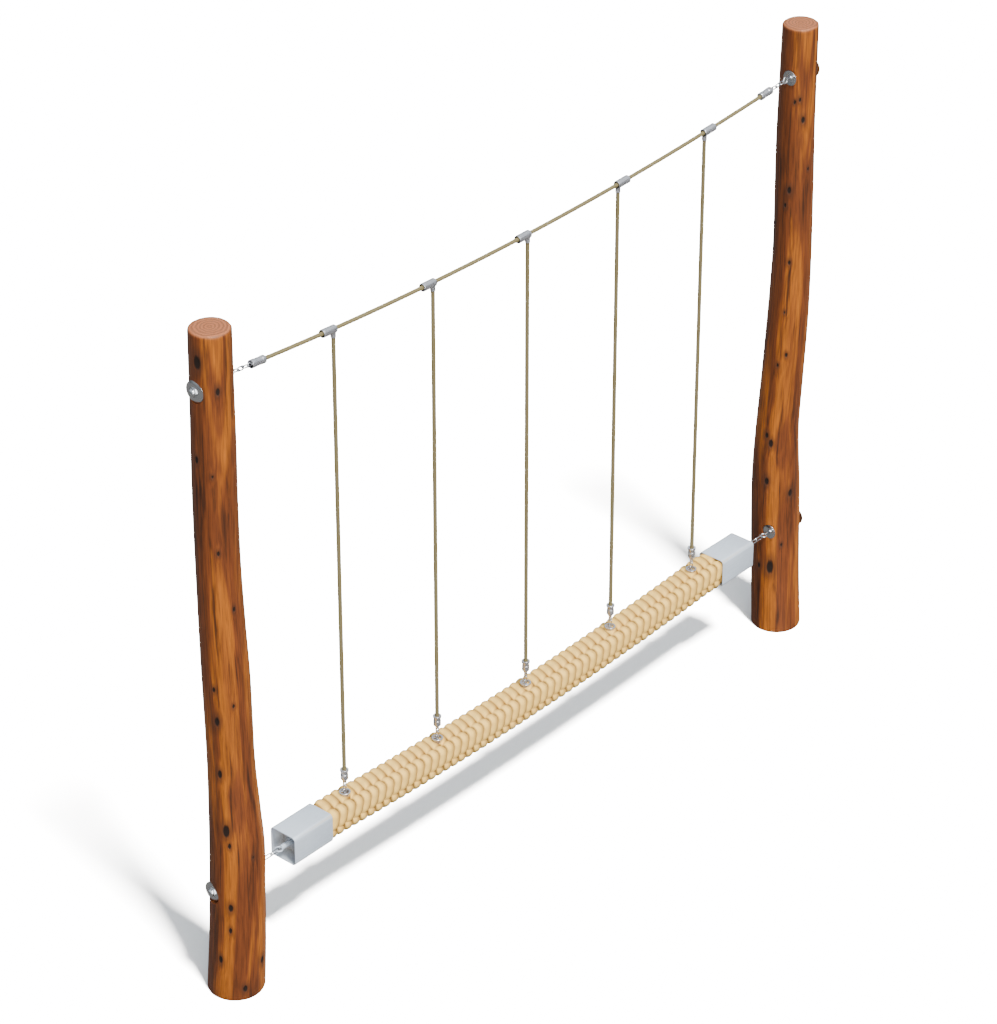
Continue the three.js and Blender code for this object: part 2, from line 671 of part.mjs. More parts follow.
// ---------------------------------------------------------------- the origin

// The origin is on the ground, in the middle of the whole object.
group.updateMatrixWorld(true);
const box = new THREE.Box3().setFromObject(group, true);
group.position.set(-(box.min.x + box.max.x) / 2, -(box.min.y + box.max.y) / 2, -box.min.z);
group.updateMatrixWorld(true);

export default group;
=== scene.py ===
import math

import bmesh
import bpy
import numpy as np
from mathutils import Euler, Matrix, Quaternion, Vector, noise


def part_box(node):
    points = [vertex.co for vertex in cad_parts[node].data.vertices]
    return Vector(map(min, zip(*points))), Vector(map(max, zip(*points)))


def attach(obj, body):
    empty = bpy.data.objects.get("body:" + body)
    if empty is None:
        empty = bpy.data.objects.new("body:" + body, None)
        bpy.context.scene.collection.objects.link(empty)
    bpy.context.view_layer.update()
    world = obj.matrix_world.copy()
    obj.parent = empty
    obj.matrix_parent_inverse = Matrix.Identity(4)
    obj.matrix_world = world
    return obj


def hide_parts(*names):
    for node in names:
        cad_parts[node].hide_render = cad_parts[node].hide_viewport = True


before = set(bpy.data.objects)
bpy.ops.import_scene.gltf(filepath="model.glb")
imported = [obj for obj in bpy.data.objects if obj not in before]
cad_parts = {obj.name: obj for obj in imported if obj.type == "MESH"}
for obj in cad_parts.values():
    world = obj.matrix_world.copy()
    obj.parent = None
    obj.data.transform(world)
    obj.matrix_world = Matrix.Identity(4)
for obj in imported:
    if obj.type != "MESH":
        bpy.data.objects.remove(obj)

bl_info = {
    "name": "Rope balance beam",
    "version": (1, 0, 0),
    "blender": (4, 5, 0),
    "location": "View3D > Sidebar > Balance beam",
    "description": "Finishes a plaited rope balance beam slung between two round timber posts",
    "category": "Object",
}

# Lengths are in metres, as Blender's are; MM turns the ones that are given in millimetres.
MM = 0.001
TINY = 1e-7
FULL_TURN = 2 * math.pi
X_AXIS = Vector((1, 0, 0))
SIDES = {"left": -1, "right": 1}
HAND_ROPES = (1, 2, 3, 4, 5)
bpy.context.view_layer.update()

# ------------------------------------------------------------------ places read from the frame


def middle(node):
    low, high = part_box(node)
    return (low + high) / 2


def vertices(node):
    """A CAD node's points, as rows of x, y and z."""
    return np.array([vertex.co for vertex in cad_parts[node].data.vertices], float)


ROPE_R = (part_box("hand_rope_3")[1].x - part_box("hand_rope_3")[0].x) / 2
LAST_ROPE_X = middle("hand_rope_5").x
SAG_RATE = (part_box("hand_rope_5")[1].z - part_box("hand_rope_3")[1].z) / LAST_ROPE_X**2
TOP_ROPE_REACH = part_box("top_rope")[1].x
SLEEVE_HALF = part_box("end_sleeve_left")[1].y
SLEEVE_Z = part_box("end_sleeve_left")[1].z - SLEEVE_HALF
SLEEVE_MOUTH_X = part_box("end_sleeve_right")[0].x
BEAM_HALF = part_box("braided_beam")[1].y
BEAM_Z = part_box("braided_beam")[0].z + BEAM_HALF
BEAM_END_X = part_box("braided_beam")[1].x


def rise(along):
    """How far the sagging curves rise above their lowest point."""
    return SAG_RATE * along * along


top_rope_points = vertices("top_rope")
TOP_ROPE_Z = float(np.mean(top_rope_points[:, 2] - rise(top_rope_points[:, 0])))

# ------------------------------------------------------------------ sizes that the user can change


class TimberSettings(bpy.types.PropertyGroup):
    facets: bpy.props.IntProperty(
        name="Facets", description="Faces round each post", default=96, min=24)
    ring_step: bpy.props.FloatProperty(
        name="Ring step", description="Height of each ring of faces", default=8 * MM,
        unit="LENGTH", precision=4)
    lumps: bpy.props.FloatProperty(
        name="Lumps", description="How far the debarked surface swells and hollows",
        default=1.6 * MM, unit="LENGTH", precision=4)
    heartwood: bpy.props.FloatVectorProperty(
        name="Heartwood", description="Oiled wood between the streaks", size=3, subtype="COLOR",
        default=(0.15, 0.041, 0.011))
    golden: bpy.props.FloatVectorProperty(
        name="Golden streaks", description="Lighter streaks along the trunk", size=3,
        subtype="COLOR", default=(0.36, 0.103, 0.011))
    dark: bpy.props.FloatVectorProperty(
        name="Dark streaks", description="Darker streaks along the trunk", size=3,
        subtype="COLOR", default=(0.036, 0.0135, 0.0065))
    end_grain: bpy.props.FloatVectorProperty(
        name="End grain", description="Sawn tops of the posts", size=3, subtype="COLOR",
        default=(0.35, 0.122, 0.05))


class RopeSettings(bpy.types.PropertyGroup):
    strands: bpy.props.IntProperty(
        name="Strands", description="Strands laid round the steel core", default=6, min=3)
    lay: bpy.props.FloatProperty(
        name="Lay", description="Length in which a strand goes once round the rope",
        default=105 * MM, unit="LENGTH", precision=4)
    colour: bpy.props.FloatVectorProperty(
        name="Rope", description="Beige rope fibre", size=3, subtype="COLOR",
        default=(0.18, 0.15, 0.073))


class PlaitSettings(bpy.types.PropertyGroup):
    pitch: bpy.props.FloatProperty(
        name="Pitch", description="Length of one level of the plait", default=41.6 * MM,
        unit="LENGTH", precision=4)
    bulge: bpy.props.FloatProperty(
        name="Bulge", description="How far a strand bows along the beam as it crosses a face",
        default=17 * MM, unit="LENGTH", precision=4)
    drift: bpy.props.FloatProperty(
        name="Drift", description="How far a strand slips back along the beam as it crosses",
        default=13 * MM, unit="LENGTH", precision=4)
    strand_width: bpy.props.FloatProperty(
        name="Strand width", description="Width of a strand at its widest", default=46 * MM,
        unit="LENGTH", precision=4)
    strand_thickness: bpy.props.FloatProperty(
        name="Strand thickness", description="Thickness of a strand", default=30 * MM,
        unit="LENGTH", precision=4)
    tilt: bpy.props.FloatProperty(
        name="Tilt", description="How far each strand leans over the next one",
        default=math.radians(2), unit="ROTATION")
    colour: bpy.props.FloatVectorProperty(
        name="Plait", description="Creamy plaited rope", size=3, subtype="COLOR",
        default=(0.97, 0.62, 0.16))


class SteelSettings(bpy.types.PropertyGroup):
    facets: bpy.props.IntProperty(
        name="Facets", description="Faces round each turned piece", default=48, min=16)
    sleeve: bpy.props.FloatVectorProperty(
        name="Sleeves", description="Satin steel of the end sleeves", size=3, subtype="COLOR",
        default=(0.58, 0.65, 0.74))
    ferrule: bpy.props.FloatVectorProperty(
        name="Ferrules", description="Pressed aluminium", size=3, subtype="COLOR",
        default=(0.66, 0.66, 0.7))
    bright: bpy.props.FloatVectorProperty(
        name="Chains and bolts", description="Polished stainless steel", size=3,
        subtype="COLOR", default=(0.68, 0.69, 0.71))


class StageSettings(bpy.types.PropertyGroup):
    azimuth: bpy.props.FloatProperty(
        name="Azimuth", description="Direction of the camera round the beam",
        default=math.radians(-48.91), unit="ROTATION")
    elevation: bpy.props.FloatProperty(
        name="Elevation", description="Height of the camera above the horizon",
        default=math.radians(31.43), unit="ROTATION")
    distance: bpy.props.FloatProperty(
        name="Distance", description="From the camera to the point it looks at",
        default=14.275, unit="LENGTH")
    aim: bpy.props.FloatVectorProperty(
        name="Aim", description="The point that the camera looks at", size=3,
        default=(-0.1, 0.05, 1.2824), subtype="TRANSLATION", unit="LENGTH")
    lens: bpy.props.FloatProperty(
        name="Lens", description="Focal length in millimetres", default=135.5)
    key_azimuth: bpy.props.FloatProperty(
        name="Key azimuth", description="Direction that the main light comes from",
        default=math.radians(-15.6), unit="ROTATION")
    key_elevation: bpy.props.FloatProperty(
        name="Key elevation", description="Height of the main light above the horizon",
        default=math.radians(62), unit="ROTATION")
    key_strength: bpy.props.FloatProperty(
        name="Key strength", description="Strength of the main light", default=5.4)
    fill_azimuth: bpy.props.FloatProperty(
        name="Fill azimuth", description="Direction that the low front light comes from",
        default=math.radians(-30), unit="ROTATION")
    fill_elevation: bpy.props.FloatProperty(
        name="Fill elevation", description="Height of the low front light above the horizon",
        default=math.radians(20), unit="ROTATION")
    fill_strength: bpy.props.FloatProperty(
        name="Fill strength", description="Strength of the low front light", default=2.9)
    floor_strength: bpy.props.FloatProperty(
        name="Floor strength", description="Strength of the light that falls on the floor only",
        default=70.0)
    sky_strength: bpy.props.FloatProperty(
        name="Sky strength", description="Strength of the even light all round", default=0.62)


# ------------------------------------------------------------------ node trees


def plug(tree, value, socket):
    """Links an output to an input, or sets the input."""
    if isinstance(value, bpy.types.NodeSocket):
        tree.links.new(value, socket)
    else:
        socket.default_value = value


def add(tree, kind, inputs=None, **settings):
    """A new node with its settings, and with its inputs linked or set by name or place."""
    node = tree.nodes.new(kind)
    for key, value in settings.items():
        setattr(node, key, value)
    for key, value in (inputs or {}).items():
        plug(tree, value, node.inputs[key])
    return node


def calc(tree, operation, *values):
    """A Math node of a shader or geometry tree; returns its value."""
    node = add(tree, "ShaderNodeMath", dict(enumerate(values)), operation=operation)
    return node.outputs[0]


def new_tree(name, kind, inputs, outputs):
    """A node group with named sockets: inputs are (name, socket type, default)."""
    tree = bpy.data.node_groups.new(name, kind)
    for label, socket_type, value in inputs:
        socket = tree.interface.new_socket(label, in_out="INPUT", socket_type=socket_type)
        if value is not None:
            socket.default_value = value
    for label, socket_type in outputs:
        tree.interface.new_socket(label, in_out="OUTPUT", socket_type=socket_type)
    return tree, tree.nodes.new("NodeGroupInput"), tree.nodes.new("NodeGroupOutput")


FLOAT = "NodeSocketFloat"
INT = "NodeSocketInt"
COLOUR = "NodeSocketColor"
VECTOR = "NodeSocketVector"
GEOMETRY = "NodeSocketGeometry"
OBJECT = "NodeSocketObject"
MATERIAL = "NodeSocketMaterial"


def evaluate(name, base, tree, values):
    """Runs a Geometry Nodes tree on a mesh and returns the result as a plain mesh."""
    holder = bpy.data.objects.new(name, base)
    bpy.context.scene.collection.objects.link(holder)
    modifier = holder.modifiers.new(name, "NODES")
    modifier.node_group = tree
    sockets = {item.name: item for item in tree.interface.items_tree if item.in_out == "INPUT"}
    for label, value in values.items():
        modifier[sockets[label].identifier] = value
    bpy.context.view_layer.update()
    evaluated = holder.evaluated_get(bpy.context.evaluated_depsgraph_get())
    mesh = bpy.data.meshes.new_from_object(evaluated)
    holder.modifiers.remove(modifier)
    bpy.data.objects.remove(holder)
    mesh.name = name
    mesh.shade_smooth()
    return mesh


def finish_tree(tree, output, geometry, material):
    """Realize Instances and Set Material, the last two nodes of each tree."""
    whole = add(tree, "GeometryNodeRealizeInstances", {"Geometry": geometry})
    coated = add(tree, "GeometryNodeSetMaterial",
                 {"Geometry": whole.outputs[0], "Material": material})
    tree.links.new(coated.outputs[0], output.inputs[0])


def stored_turn(tree):
    """The turn attribute of the points, as a rotation."""
    turn = add(tree, "GeometryNodeInputNamedAttribute", {"Name": "turn"}, data_type="FLOAT_VECTOR")
    return add(tree, "FunctionNodeEulerToRotation", {0: turn.outputs[0]}).outputs[0]


def copies_tree():
    """Puts a copy of a unit at each point, turned by the point's own turn attribute."""
    tree, given, output = new_tree(
        "Copies at points", "GeometryNodeTree",
        [("Points", GEOMETRY, None), ("Unit", OBJECT, None), ("Finish", MATERIAL, None)],
        [("Geometry", GEOMETRY)])
    unit = add(tree, "GeometryNodeObjectInfo", {"Object": given.outputs["Unit"]})
    placed = add(tree, "GeometryNodeInstanceOnPoints", {
        "Points": given.outputs["Points"],
        "Instance": unit.outputs["Geometry"],
        "Rotation": stored_turn(tree),
    })
    finish_tree(tree, output, placed.outputs[0], given.outputs["Finish"])
    return tree


LINK_STEPS = 40
WIRE_SIDES = 14


def links_tree():
    """Puts a chain link at each point: a ring of wire, pulled apart into two half circles."""
    tree, given, output = new_tree(
        "Chain links", "GeometryNodeTree",
        [("Points", GEOMETRY, None), ("Bend radius", FLOAT, 0.007),
         ("Straight side", FLOAT, 0.015), ("Wire radius", FLOAT, 0.0025),
         ("Finish", MATERIAL, None)],
        [("Geometry", GEOMETRY)])
    ring = add(tree, "GeometryNodeCurvePrimitiveCircle",
               {"Resolution": LINK_STEPS, "Radius": given.outputs["Bend radius"]})
    place = add(tree, "GeometryNodeInputPosition")
    parts = add(tree, "ShaderNodeSeparateXYZ", {0: place.outputs[0]})
    end = calc(tree, "SIGN", calc(tree, "ADD", parts.outputs["X"], TINY))
    shift = calc(tree, "MULTIPLY", end, calc(tree, "MULTIPLY", given.outputs["Straight side"], 0.5))
    offset = add(tree, "ShaderNodeCombineXYZ", {"X": shift})
    pulled = add(tree, "GeometryNodeSetPosition",
                 {"Geometry": ring.outputs[0], "Offset": offset.outputs[0]})
    wire = add(tree, "GeometryNodeCurvePrimitiveCircle",
               {"Resolution": WIRE_SIDES, "Radius": given.outputs["Wire radius"]})
    link = add(tree, "GeometryNodeCurveToMesh",
               {"Curve": pulled.outputs[0], "Profile Curve": wire.outputs[0]})
    placed = add(tree, "GeometryNodeInstanceOnPoints", {
        "Points": given.outputs["Points"],
        "Instance": link.outputs[0],
        "Rotation": stored_turn(tree),
    })
    finish_tree(tree, output, placed.outputs[0], given.outputs["Finish"])
    return tree


POINTS_A_STRAND = 8
LOBE_SHARE = 0.4  # how deep the grooves between strands are: 1 gives round strands


def rope_tree():
    """Lays strands round a path: a profile of touching circles that turns as it goes."""
    tree, given, output = new_tree(
        "Laid rope", "GeometryNodeTree",
        [("Path", GEOMETRY, None), ("Radius", FLOAT, 0.008), ("Strands", INT, 6),
         ("Lay", FLOAT, 0.1), ("Step", FLOAT, 0.006), ("Finish", MATERIAL, None)],
        [("Geometry", GEOMETRY)])
    path = add(tree, "GeometryNodeMeshToCurve", {"Mesh": given.outputs["Path"]})
    even = add(tree, "GeometryNodeResampleCurve",
               {"Curve": path.outputs[0], "Length": given.outputs["Step"]}, mode="LENGTH")
    along = add(tree, "GeometryNodeSplineParameter").outputs["Length"]
    turns = calc(tree, "DIVIDE", calc(tree, "MULTIPLY", along, FULL_TURN), given.outputs["Lay"])
    turned = add(tree, "GeometryNodeSetCurveTilt", {"Curve": even.outputs[0], "Tilt": turns})
    marked = add(tree, "GeometryNodeStoreNamedAttribute",
                 {"Geometry": turned.outputs[0], "Name": "along", "Value": along},
                 data_type="FLOAT", domain="POINT")

    points = calc(tree, "MULTIPLY", given.outputs["Strands"], float(POINTS_A_STRAND))
    circle = add(tree, "GeometryNodeCurvePrimitiveCircle",
                 {"Resolution": points, "Radius": given.outputs["Radius"]})
    index = add(tree, "GeometryNodeInputIndex").outputs[0]
    share = calc(tree, "FRACT", calc(tree, "DIVIDE", index, float(POINTS_A_STRAND)))
    wedge = calc(tree, "DIVIDE", FULL_TURN, given.outputs["Strands"])
    lean = calc(tree, "MULTIPLY", calc(tree, "SUBTRACT", share, 0.5), wedge)
    half_sine = calc(tree, "SINE", calc(tree, "MULTIPLY", wedge, 0.5))
    strand_r = calc(tree, "DIVIDE", calc(tree, "MULTIPLY", given.outputs["Radius"], half_sine),
                    calc(tree, "ADD", half_sine, 1.0))
    centre_r = calc(tree, "SUBTRACT", given.outputs["Radius"], strand_r)
    aside = calc(tree, "MULTIPLY", centre_r, calc(tree, "SINE", lean))
    depth = calc(tree, "SUBTRACT", calc(tree, "POWER", calc(tree, "MULTIPLY", strand_r, 1.04), 2.0),
                 calc(tree, "POWER", aside, 2.0))
    reach = calc(tree, "ADD", calc(tree, "MULTIPLY", centre_r, calc(tree, "COSINE", lean)),
                 calc(tree, "SQRT", calc(tree, "MAXIMUM", depth, 0.0)))
    lobes = calc(tree, "DIVIDE", reach, given.outputs["Radius"])
    ratio = calc(tree, "ADD", calc(tree, "MULTIPLY", lobes, LOBE_SHARE), 1.0 - LOBE_SHARE)
    spot = add(tree, "GeometryNodeInputPosition").outputs[0]
    lobed = add(tree, "ShaderNodeVectorMath", {0: spot, "Scale": ratio}, operation="SCALE")
    profile = add(tree, "GeometryNodeSetPosition",
                  {"Geometry": circle.outputs[0], "Position": lobed.outputs[0]})
    strands = add(tree, "GeometryNodeStoreNamedAttribute",
                  {"Geometry": profile.outputs[0], "Name": "across", "Value": share},
                  data_type="FLOAT", domain="POINT")
    rope = add(tree, "GeometryNodeCurveToMesh", {
        "Curve": marked.outputs[0],
        "Profile Curve": strands.outputs[0],
        "Fill Caps": True,
    })
    finish_tree(tree, output, rope.outputs[0], given.outputs["Finish"])
    return tree


def plait_tree():
    """Repeats one level of the plait along the sagging line of the beam."""
    tree, given, output = new_tree(
        "Plaited beam", "GeometryNodeTree",
        [("Level", GEOMETRY, None), ("Levels", INT, 50), ("Pitch", FLOAT, 0.047),
         ("Middle height", FLOAT, 0.424), ("Sag rate", FLOAT, 0.0323),
         ("Sag reach", FLOAT, 1.01), ("Level-off length", FLOAT, 0.13),
         ("Looseness", FLOAT, 0.02), ("Finish", MATERIAL, None)],
        [("Geometry", GEOMETRY)])
    row = add(tree, "GeometryNodeMeshLine", {"Count": given.outputs["Levels"]})
    index = add(tree, "GeometryNodeInputIndex").outputs[0]
    half = calc(tree, "MULTIPLY", calc(tree, "SUBTRACT", given.outputs["Levels"], 1.0), 0.5)
    along = calc(tree, "MULTIPLY", calc(tree, "SUBTRACT", index, half), given.outputs["Pitch"])
    away = calc(tree, "ABSOLUTE", along)
    reach = given.outputs["Sag reach"]
    length = given.outputs["Level-off length"]
    inner = calc(tree, "MINIMUM", away, reach)
    past = calc(tree, "MINIMUM", calc(tree, "MAXIMUM", calc(tree, "SUBTRACT", away, reach), 0.0),
                length)
    lift = calc(tree, "MULTIPLY", calc(tree, "POWER", inner, 2.0), given.outputs["Sag rate"])
    steepest = calc(tree, "MULTIPLY", calc(tree, "MULTIPLY", inner, 2.0), given.outputs["Sag rate"])
    lost = calc(tree, "DIVIDE", calc(tree, "POWER", past, 2.0), calc(tree, "MULTIPLY", length, 2.0))
    more = calc(tree, "MULTIPLY", steepest, calc(tree, "SUBTRACT", past, lost))
    height = calc(tree, "ADD", calc(tree, "ADD", lift, more), given.outputs["Middle height"])
    slope = calc(tree, "MULTIPLY", steepest,
                 calc(tree, "SUBTRACT", 1.0, calc(tree, "DIVIDE", past, length)))
    pitch = calc(tree, "MULTIPLY", calc(tree, "MULTIPLY", slope, calc(tree, "SIGN", along)), -1.0)
    place = add(tree, "ShaderNodeCombineXYZ", {"X": along, "Z": height})
    line = add(tree, "GeometryNodeSetPosition",
               {"Geometry": row.outputs[0], "Position": place.outputs[0]})
    loose = given.outputs["Looseness"]
    chance = add(tree, "FunctionNodeRandomValue",
                 {"Min": (-1.0, -1.0, -1.0), "Max": (1.0, 1.0, 1.0), "Seed": 11},
                 data_type="FLOAT_VECTOR")
    swing = add(tree, "ShaderNodeVectorMath", {0: chance.outputs[0], "Scale": loose},
                operation="SCALE")
    lean = add(tree, "ShaderNodeCombineXYZ", {"Y": pitch})
    turn = add(tree, "ShaderNodeVectorMath", {0: swing.outputs[0], 1: lean.outputs[0]},
               operation="ADD")
    rotation = add(tree, "FunctionNodeEulerToRotation", {0: turn.outputs[0]})
    placed = add(tree, "GeometryNodeInstanceOnPoints", {
        "Points": line.outputs[0],
        "Instance": given.outputs["Level"],
        "Rotation": rotation.outputs[0],
    })
    finish_tree(tree, output, placed.outputs[0], given.outputs["Finish"])
    return tree


# ------------------------------------------------------------------ shader groups and materials


def variation_group():
    """Soft patches on Object coordinates, as a value between Low and High."""
    tree, given, output = new_tree(
        "Patches", "ShaderNodeTree",
        [("Scale", FLOAT, 8.0), ("Low", FLOAT, 0.0), ("High", FLOAT, 1.0)],
        [("Value", FLOAT)])
    place = add(tree, "ShaderNodeTexCoord").outputs["Object"]
    patches = add(tree, "ShaderNodeTexNoise",
                  {"Vector": place, "Scale": given.outputs["Scale"], "Detail": 4.0, "Roughness": 0.6})
    spread = add(tree, "ShaderNodeMapRange", {
        "Value": patches.outputs[0], "From Min": 0.32, "From Max": 0.68,
        "To Min": given.outputs["Low"], "To Max": given.outputs["High"],
    })
    tree.links.new(spread.outputs[0], output.inputs["Value"])
    return tree


def fibre_group():
    """Fine fibres that run along a strand and lean across it, from two surface attributes."""
    tree, given, output = new_tree(
        "Fibres", "ShaderNodeTree",
        [("Across", FLOAT, 0.0), ("Along", FLOAT, 0.0), ("Count", FLOAT, 14.0),
         ("Lean", FLOAT, 30.0), ("Yarns", FLOAT, 3.0)],
        [("Tone", FLOAT), ("Height", FLOAT)])
    leant = calc(tree, "ADD",
                 calc(tree, "MULTIPLY", given.outputs["Across"], given.outputs["Count"]),
                 calc(tree, "MULTIPLY", given.outputs["Along"], given.outputs["Lean"]))
    slow = calc(tree, "MULTIPLY", given.outputs["Along"], 9.0)
    spot = add(tree, "ShaderNodeCombineXYZ", {"X": leant, "Y": slow})
    hairs = add(tree, "ShaderNodeTexNoise",
                {"Vector": spot.outputs[0], "Scale": 1.0, "Detail": 6.0, "Roughness": 0.65})
    yarn = calc(tree, "ABSOLUTE", calc(tree, "SINE", calc(
        tree, "MULTIPLY", calc(tree, "MULTIPLY", leant, given.outputs["Yarns"]), 0.35)))
    height = calc(tree, "ADD", calc(tree, "MULTIPLY", yarn, 0.55),
                  calc(tree, "MULTIPLY", hairs.outputs[0], 0.9))
    tree.links.new(hairs.outputs[0], output.inputs["Tone"])
    tree.links.new(height, output.inputs["Height"])
    return tree


def brushed_group():
    """Long fine scratches along X on Object coordinates."""
    tree, given, output = new_tree(
        "Brushed lines", "ShaderNodeTree",
        [("Fineness", FLOAT, 400.0), ("Stretch", FLOAT, 0.03)],
        [("Tone", FLOAT)])
    place = add(tree, "ShaderNodeTexCoord").outputs["Object"]
    long_way = add(tree, "ShaderNodeCombineXYZ",
                   {"X": given.outputs["Stretch"], "Y": 1.0, "Z": 1.0})
    stretched = add(tree, "ShaderNodeVectorMath", {0: place, 1: long_way.outputs[0]},
                    operation="MULTIPLY")
    lines = add(tree, "ShaderNodeTexNoise", {
        "Vector": stretched.outputs[0], "Scale": given.outputs["Fineness"],
        "Detail": 3.0, "Roughness": 0.7,
    })
    tree.links.new(lines.outputs[0], output.inputs["Tone"])
    return tree


def use_group(tree, name, **inputs):
    """A shader group placed in a material with its own values."""
    node = tree.nodes.new("ShaderNodeGroup")
    node.node_tree = bpy.data.node_groups[name]
    for label, value in inputs.items():
        plug(tree, value, node.inputs[label.replace("_", " ")])
    return node


def blend_colours(tree, factor, first, second, way="MIX"):
    """A Mix node on colours; returns the mixed colour."""
    node = add(tree, "ShaderNodeMix", data_type="RGBA", blend_type=way)
    plug(tree, factor, node.inputs[0])
    for place, value in ((6, first), (7, second)):
        plug(tree, value if isinstance(value, bpy.types.NodeSocket) else (*value, 1.0),
             node.inputs[place])
    return node.outputs[2]


def between(tree, value, low, high, to_low=0.0, to_high=1.0, smooth=True):
    """Maps a value from one range to another, held at the ends."""
    node = add(tree, "ShaderNodeMapRange",
               {"Value": value, 1: low, 2: high, 3: to_low, 4: to_high},
               interpolation_type="SMOOTHSTEP" if smooth else "LINEAR")
    return node.outputs[0]


def new_material(name):
    """An empty material with a Principled shader."""
    material = bpy.data.materials.new(name)
    material.use_nodes = True
    tree = material.node_tree
    tree.nodes.clear()
    shader = tree.nodes.new("ShaderNodeBsdfPrincipled")
    output = tree.nodes.new("ShaderNodeOutputMaterial")
    tree.links.new(shader.outputs[0], output.inputs["Surface"])
    return material, tree, shader


def bump(tree, shader, height, distance):
    """Raises a shader's surface by a height value."""
    node = add(tree, "ShaderNodeBump", {"Height": height, "Distance": distance, "Strength": 1.0})
    tree.links.new(node.outputs[0], shader.inputs["Normal"])


def attribute(tree, name):
    """A mesh attribute read by a material."""
    return add(tree, "ShaderNodeAttribute", attribute_name=name)


def scaled(colour, factor):
    """A colour made lighter or darker."""
    return tuple(channel * factor for channel in colour)


def timber_material(name, colours):
    """Oiled heartwood: streaks along the trunk, knots and sawn end grain."""
    material, tree, shader = new_material(name)
    trunk = attribute(tree, "trunk").outputs["Vector"]
    knot = attribute(tree, "knot").outputs["Fac"]
    end = attribute(tree, "end_grain").outputs["Fac"]

    def streaks(across, along, detail, warp, seed):
        stretched = add(tree, "ShaderNodeVectorMath",
                        {0: trunk, 1: (across, across, along)}, operation="MULTIPLY")
        moved = add(tree, "ShaderNodeVectorMath", {0: stretched.outputs[0], 1: (seed, seed, seed)})
        return add(tree, "ShaderNodeTexNoise", {
            "Vector": moved.outputs[0], "Scale": 1.0, "Detail": detail,
            "Roughness": 0.6, "Distortion": warp,
        }).outputs[0]

    broad = streaks(13.0, 1.1, 3.0, 0.8, 3.0)
    ribbons = streaks(42.0, 2.2, 5.0, 0.5, 17.0)
    fine = streaks(210.0, 7.0, 6.0, 0.2, 31.0)
    pores = streaks(620.0, 30.0, 2.0, 0.0, 47.0)

    gold = between(tree, broad, 0.46, 0.64)
    colour = blend_colours(tree, gold, colours.heartwood, colours.golden)
    dark = between(tree, ribbons, 0.5, 0.68, 0.0, 0.85)
    colour = blend_colours(tree, dark, colour, colours.dark)
    lines = between(tree, fine, 0.33, 0.68, 1.25, 0.5, False)
    shade = add(tree, "ShaderNodeCombineColor", {0: lines, 1: lines, 2: lines}).outputs[0]
    colour = blend_colours(tree, 1.0, colour, shade, "MULTIPLY")

    rings = add(tree, "ShaderNodeTexWave", {
        "Vector": trunk, "Scale": 24.0, "Distortion": 5.0, "Detail": 3.0, "Detail Scale": 0.8,
    }, wave_type="RINGS", rings_direction="Z").outputs["Fac"]
    late_wood = between(tree, rings, 0.1, 0.9, 0.0, 0.7)
    sawn = blend_colours(tree, late_wood, scaled(colours.end_grain, 1.15),
                         scaled(colours.end_grain, 0.5))
    sawn = blend_colours(tree, between(tree, fine, 0.4, 0.7, 0.0, 0.5), sawn, colours.heartwood)
    colour = blend_colours(tree, end, colour, sawn)

    wander = calc(tree, "MULTIPLY", calc(tree, "SUBTRACT", ribbons, 0.5), 1.1)
    knot = calc(tree, "ADD", knot, wander)
    halo = between(tree, knot, 2.6, 0.9, 0.0, 0.6)
    colour = blend_colours(tree, halo, colour, scaled(colours.dark, 1.6))
    core = between(tree, knot, 1.05, 0.55)
    colour = blend_colours(tree, core, colour, scaled(colours.dark, 0.3))
    tree.links.new(colour, shader.inputs["Base Color"])

    satin = between(tree, fine, 0.35, 0.7, 0.36, 0.56, False)
    tree.links.new(calc(tree, "ADD", satin, calc(tree, "MULTIPLY", core, 0.3)),
                   shader.inputs["Roughness"])
    shader.inputs["Specular IOR Level"].default_value = 0.3
    grain = calc(tree, "ADD", calc(tree, "MULTIPLY", fine, 0.8), calc(tree, "MULTIPLY", pores, 0.35))
    deep = calc(tree, "SUBTRACT", grain, calc(tree, "MULTIPLY", core, 1.2))
    bump(tree, shader, calc(tree, "ADD", deep, calc(tree, "MULTIPLY", ribbons, 0.6)), 1.2 * MM)
    return material


def tinted(colour, *shares):
    """A colour with its red, green and blue each multiplied by a share."""
    return tuple(channel * share for channel, share in zip(colour, shares))


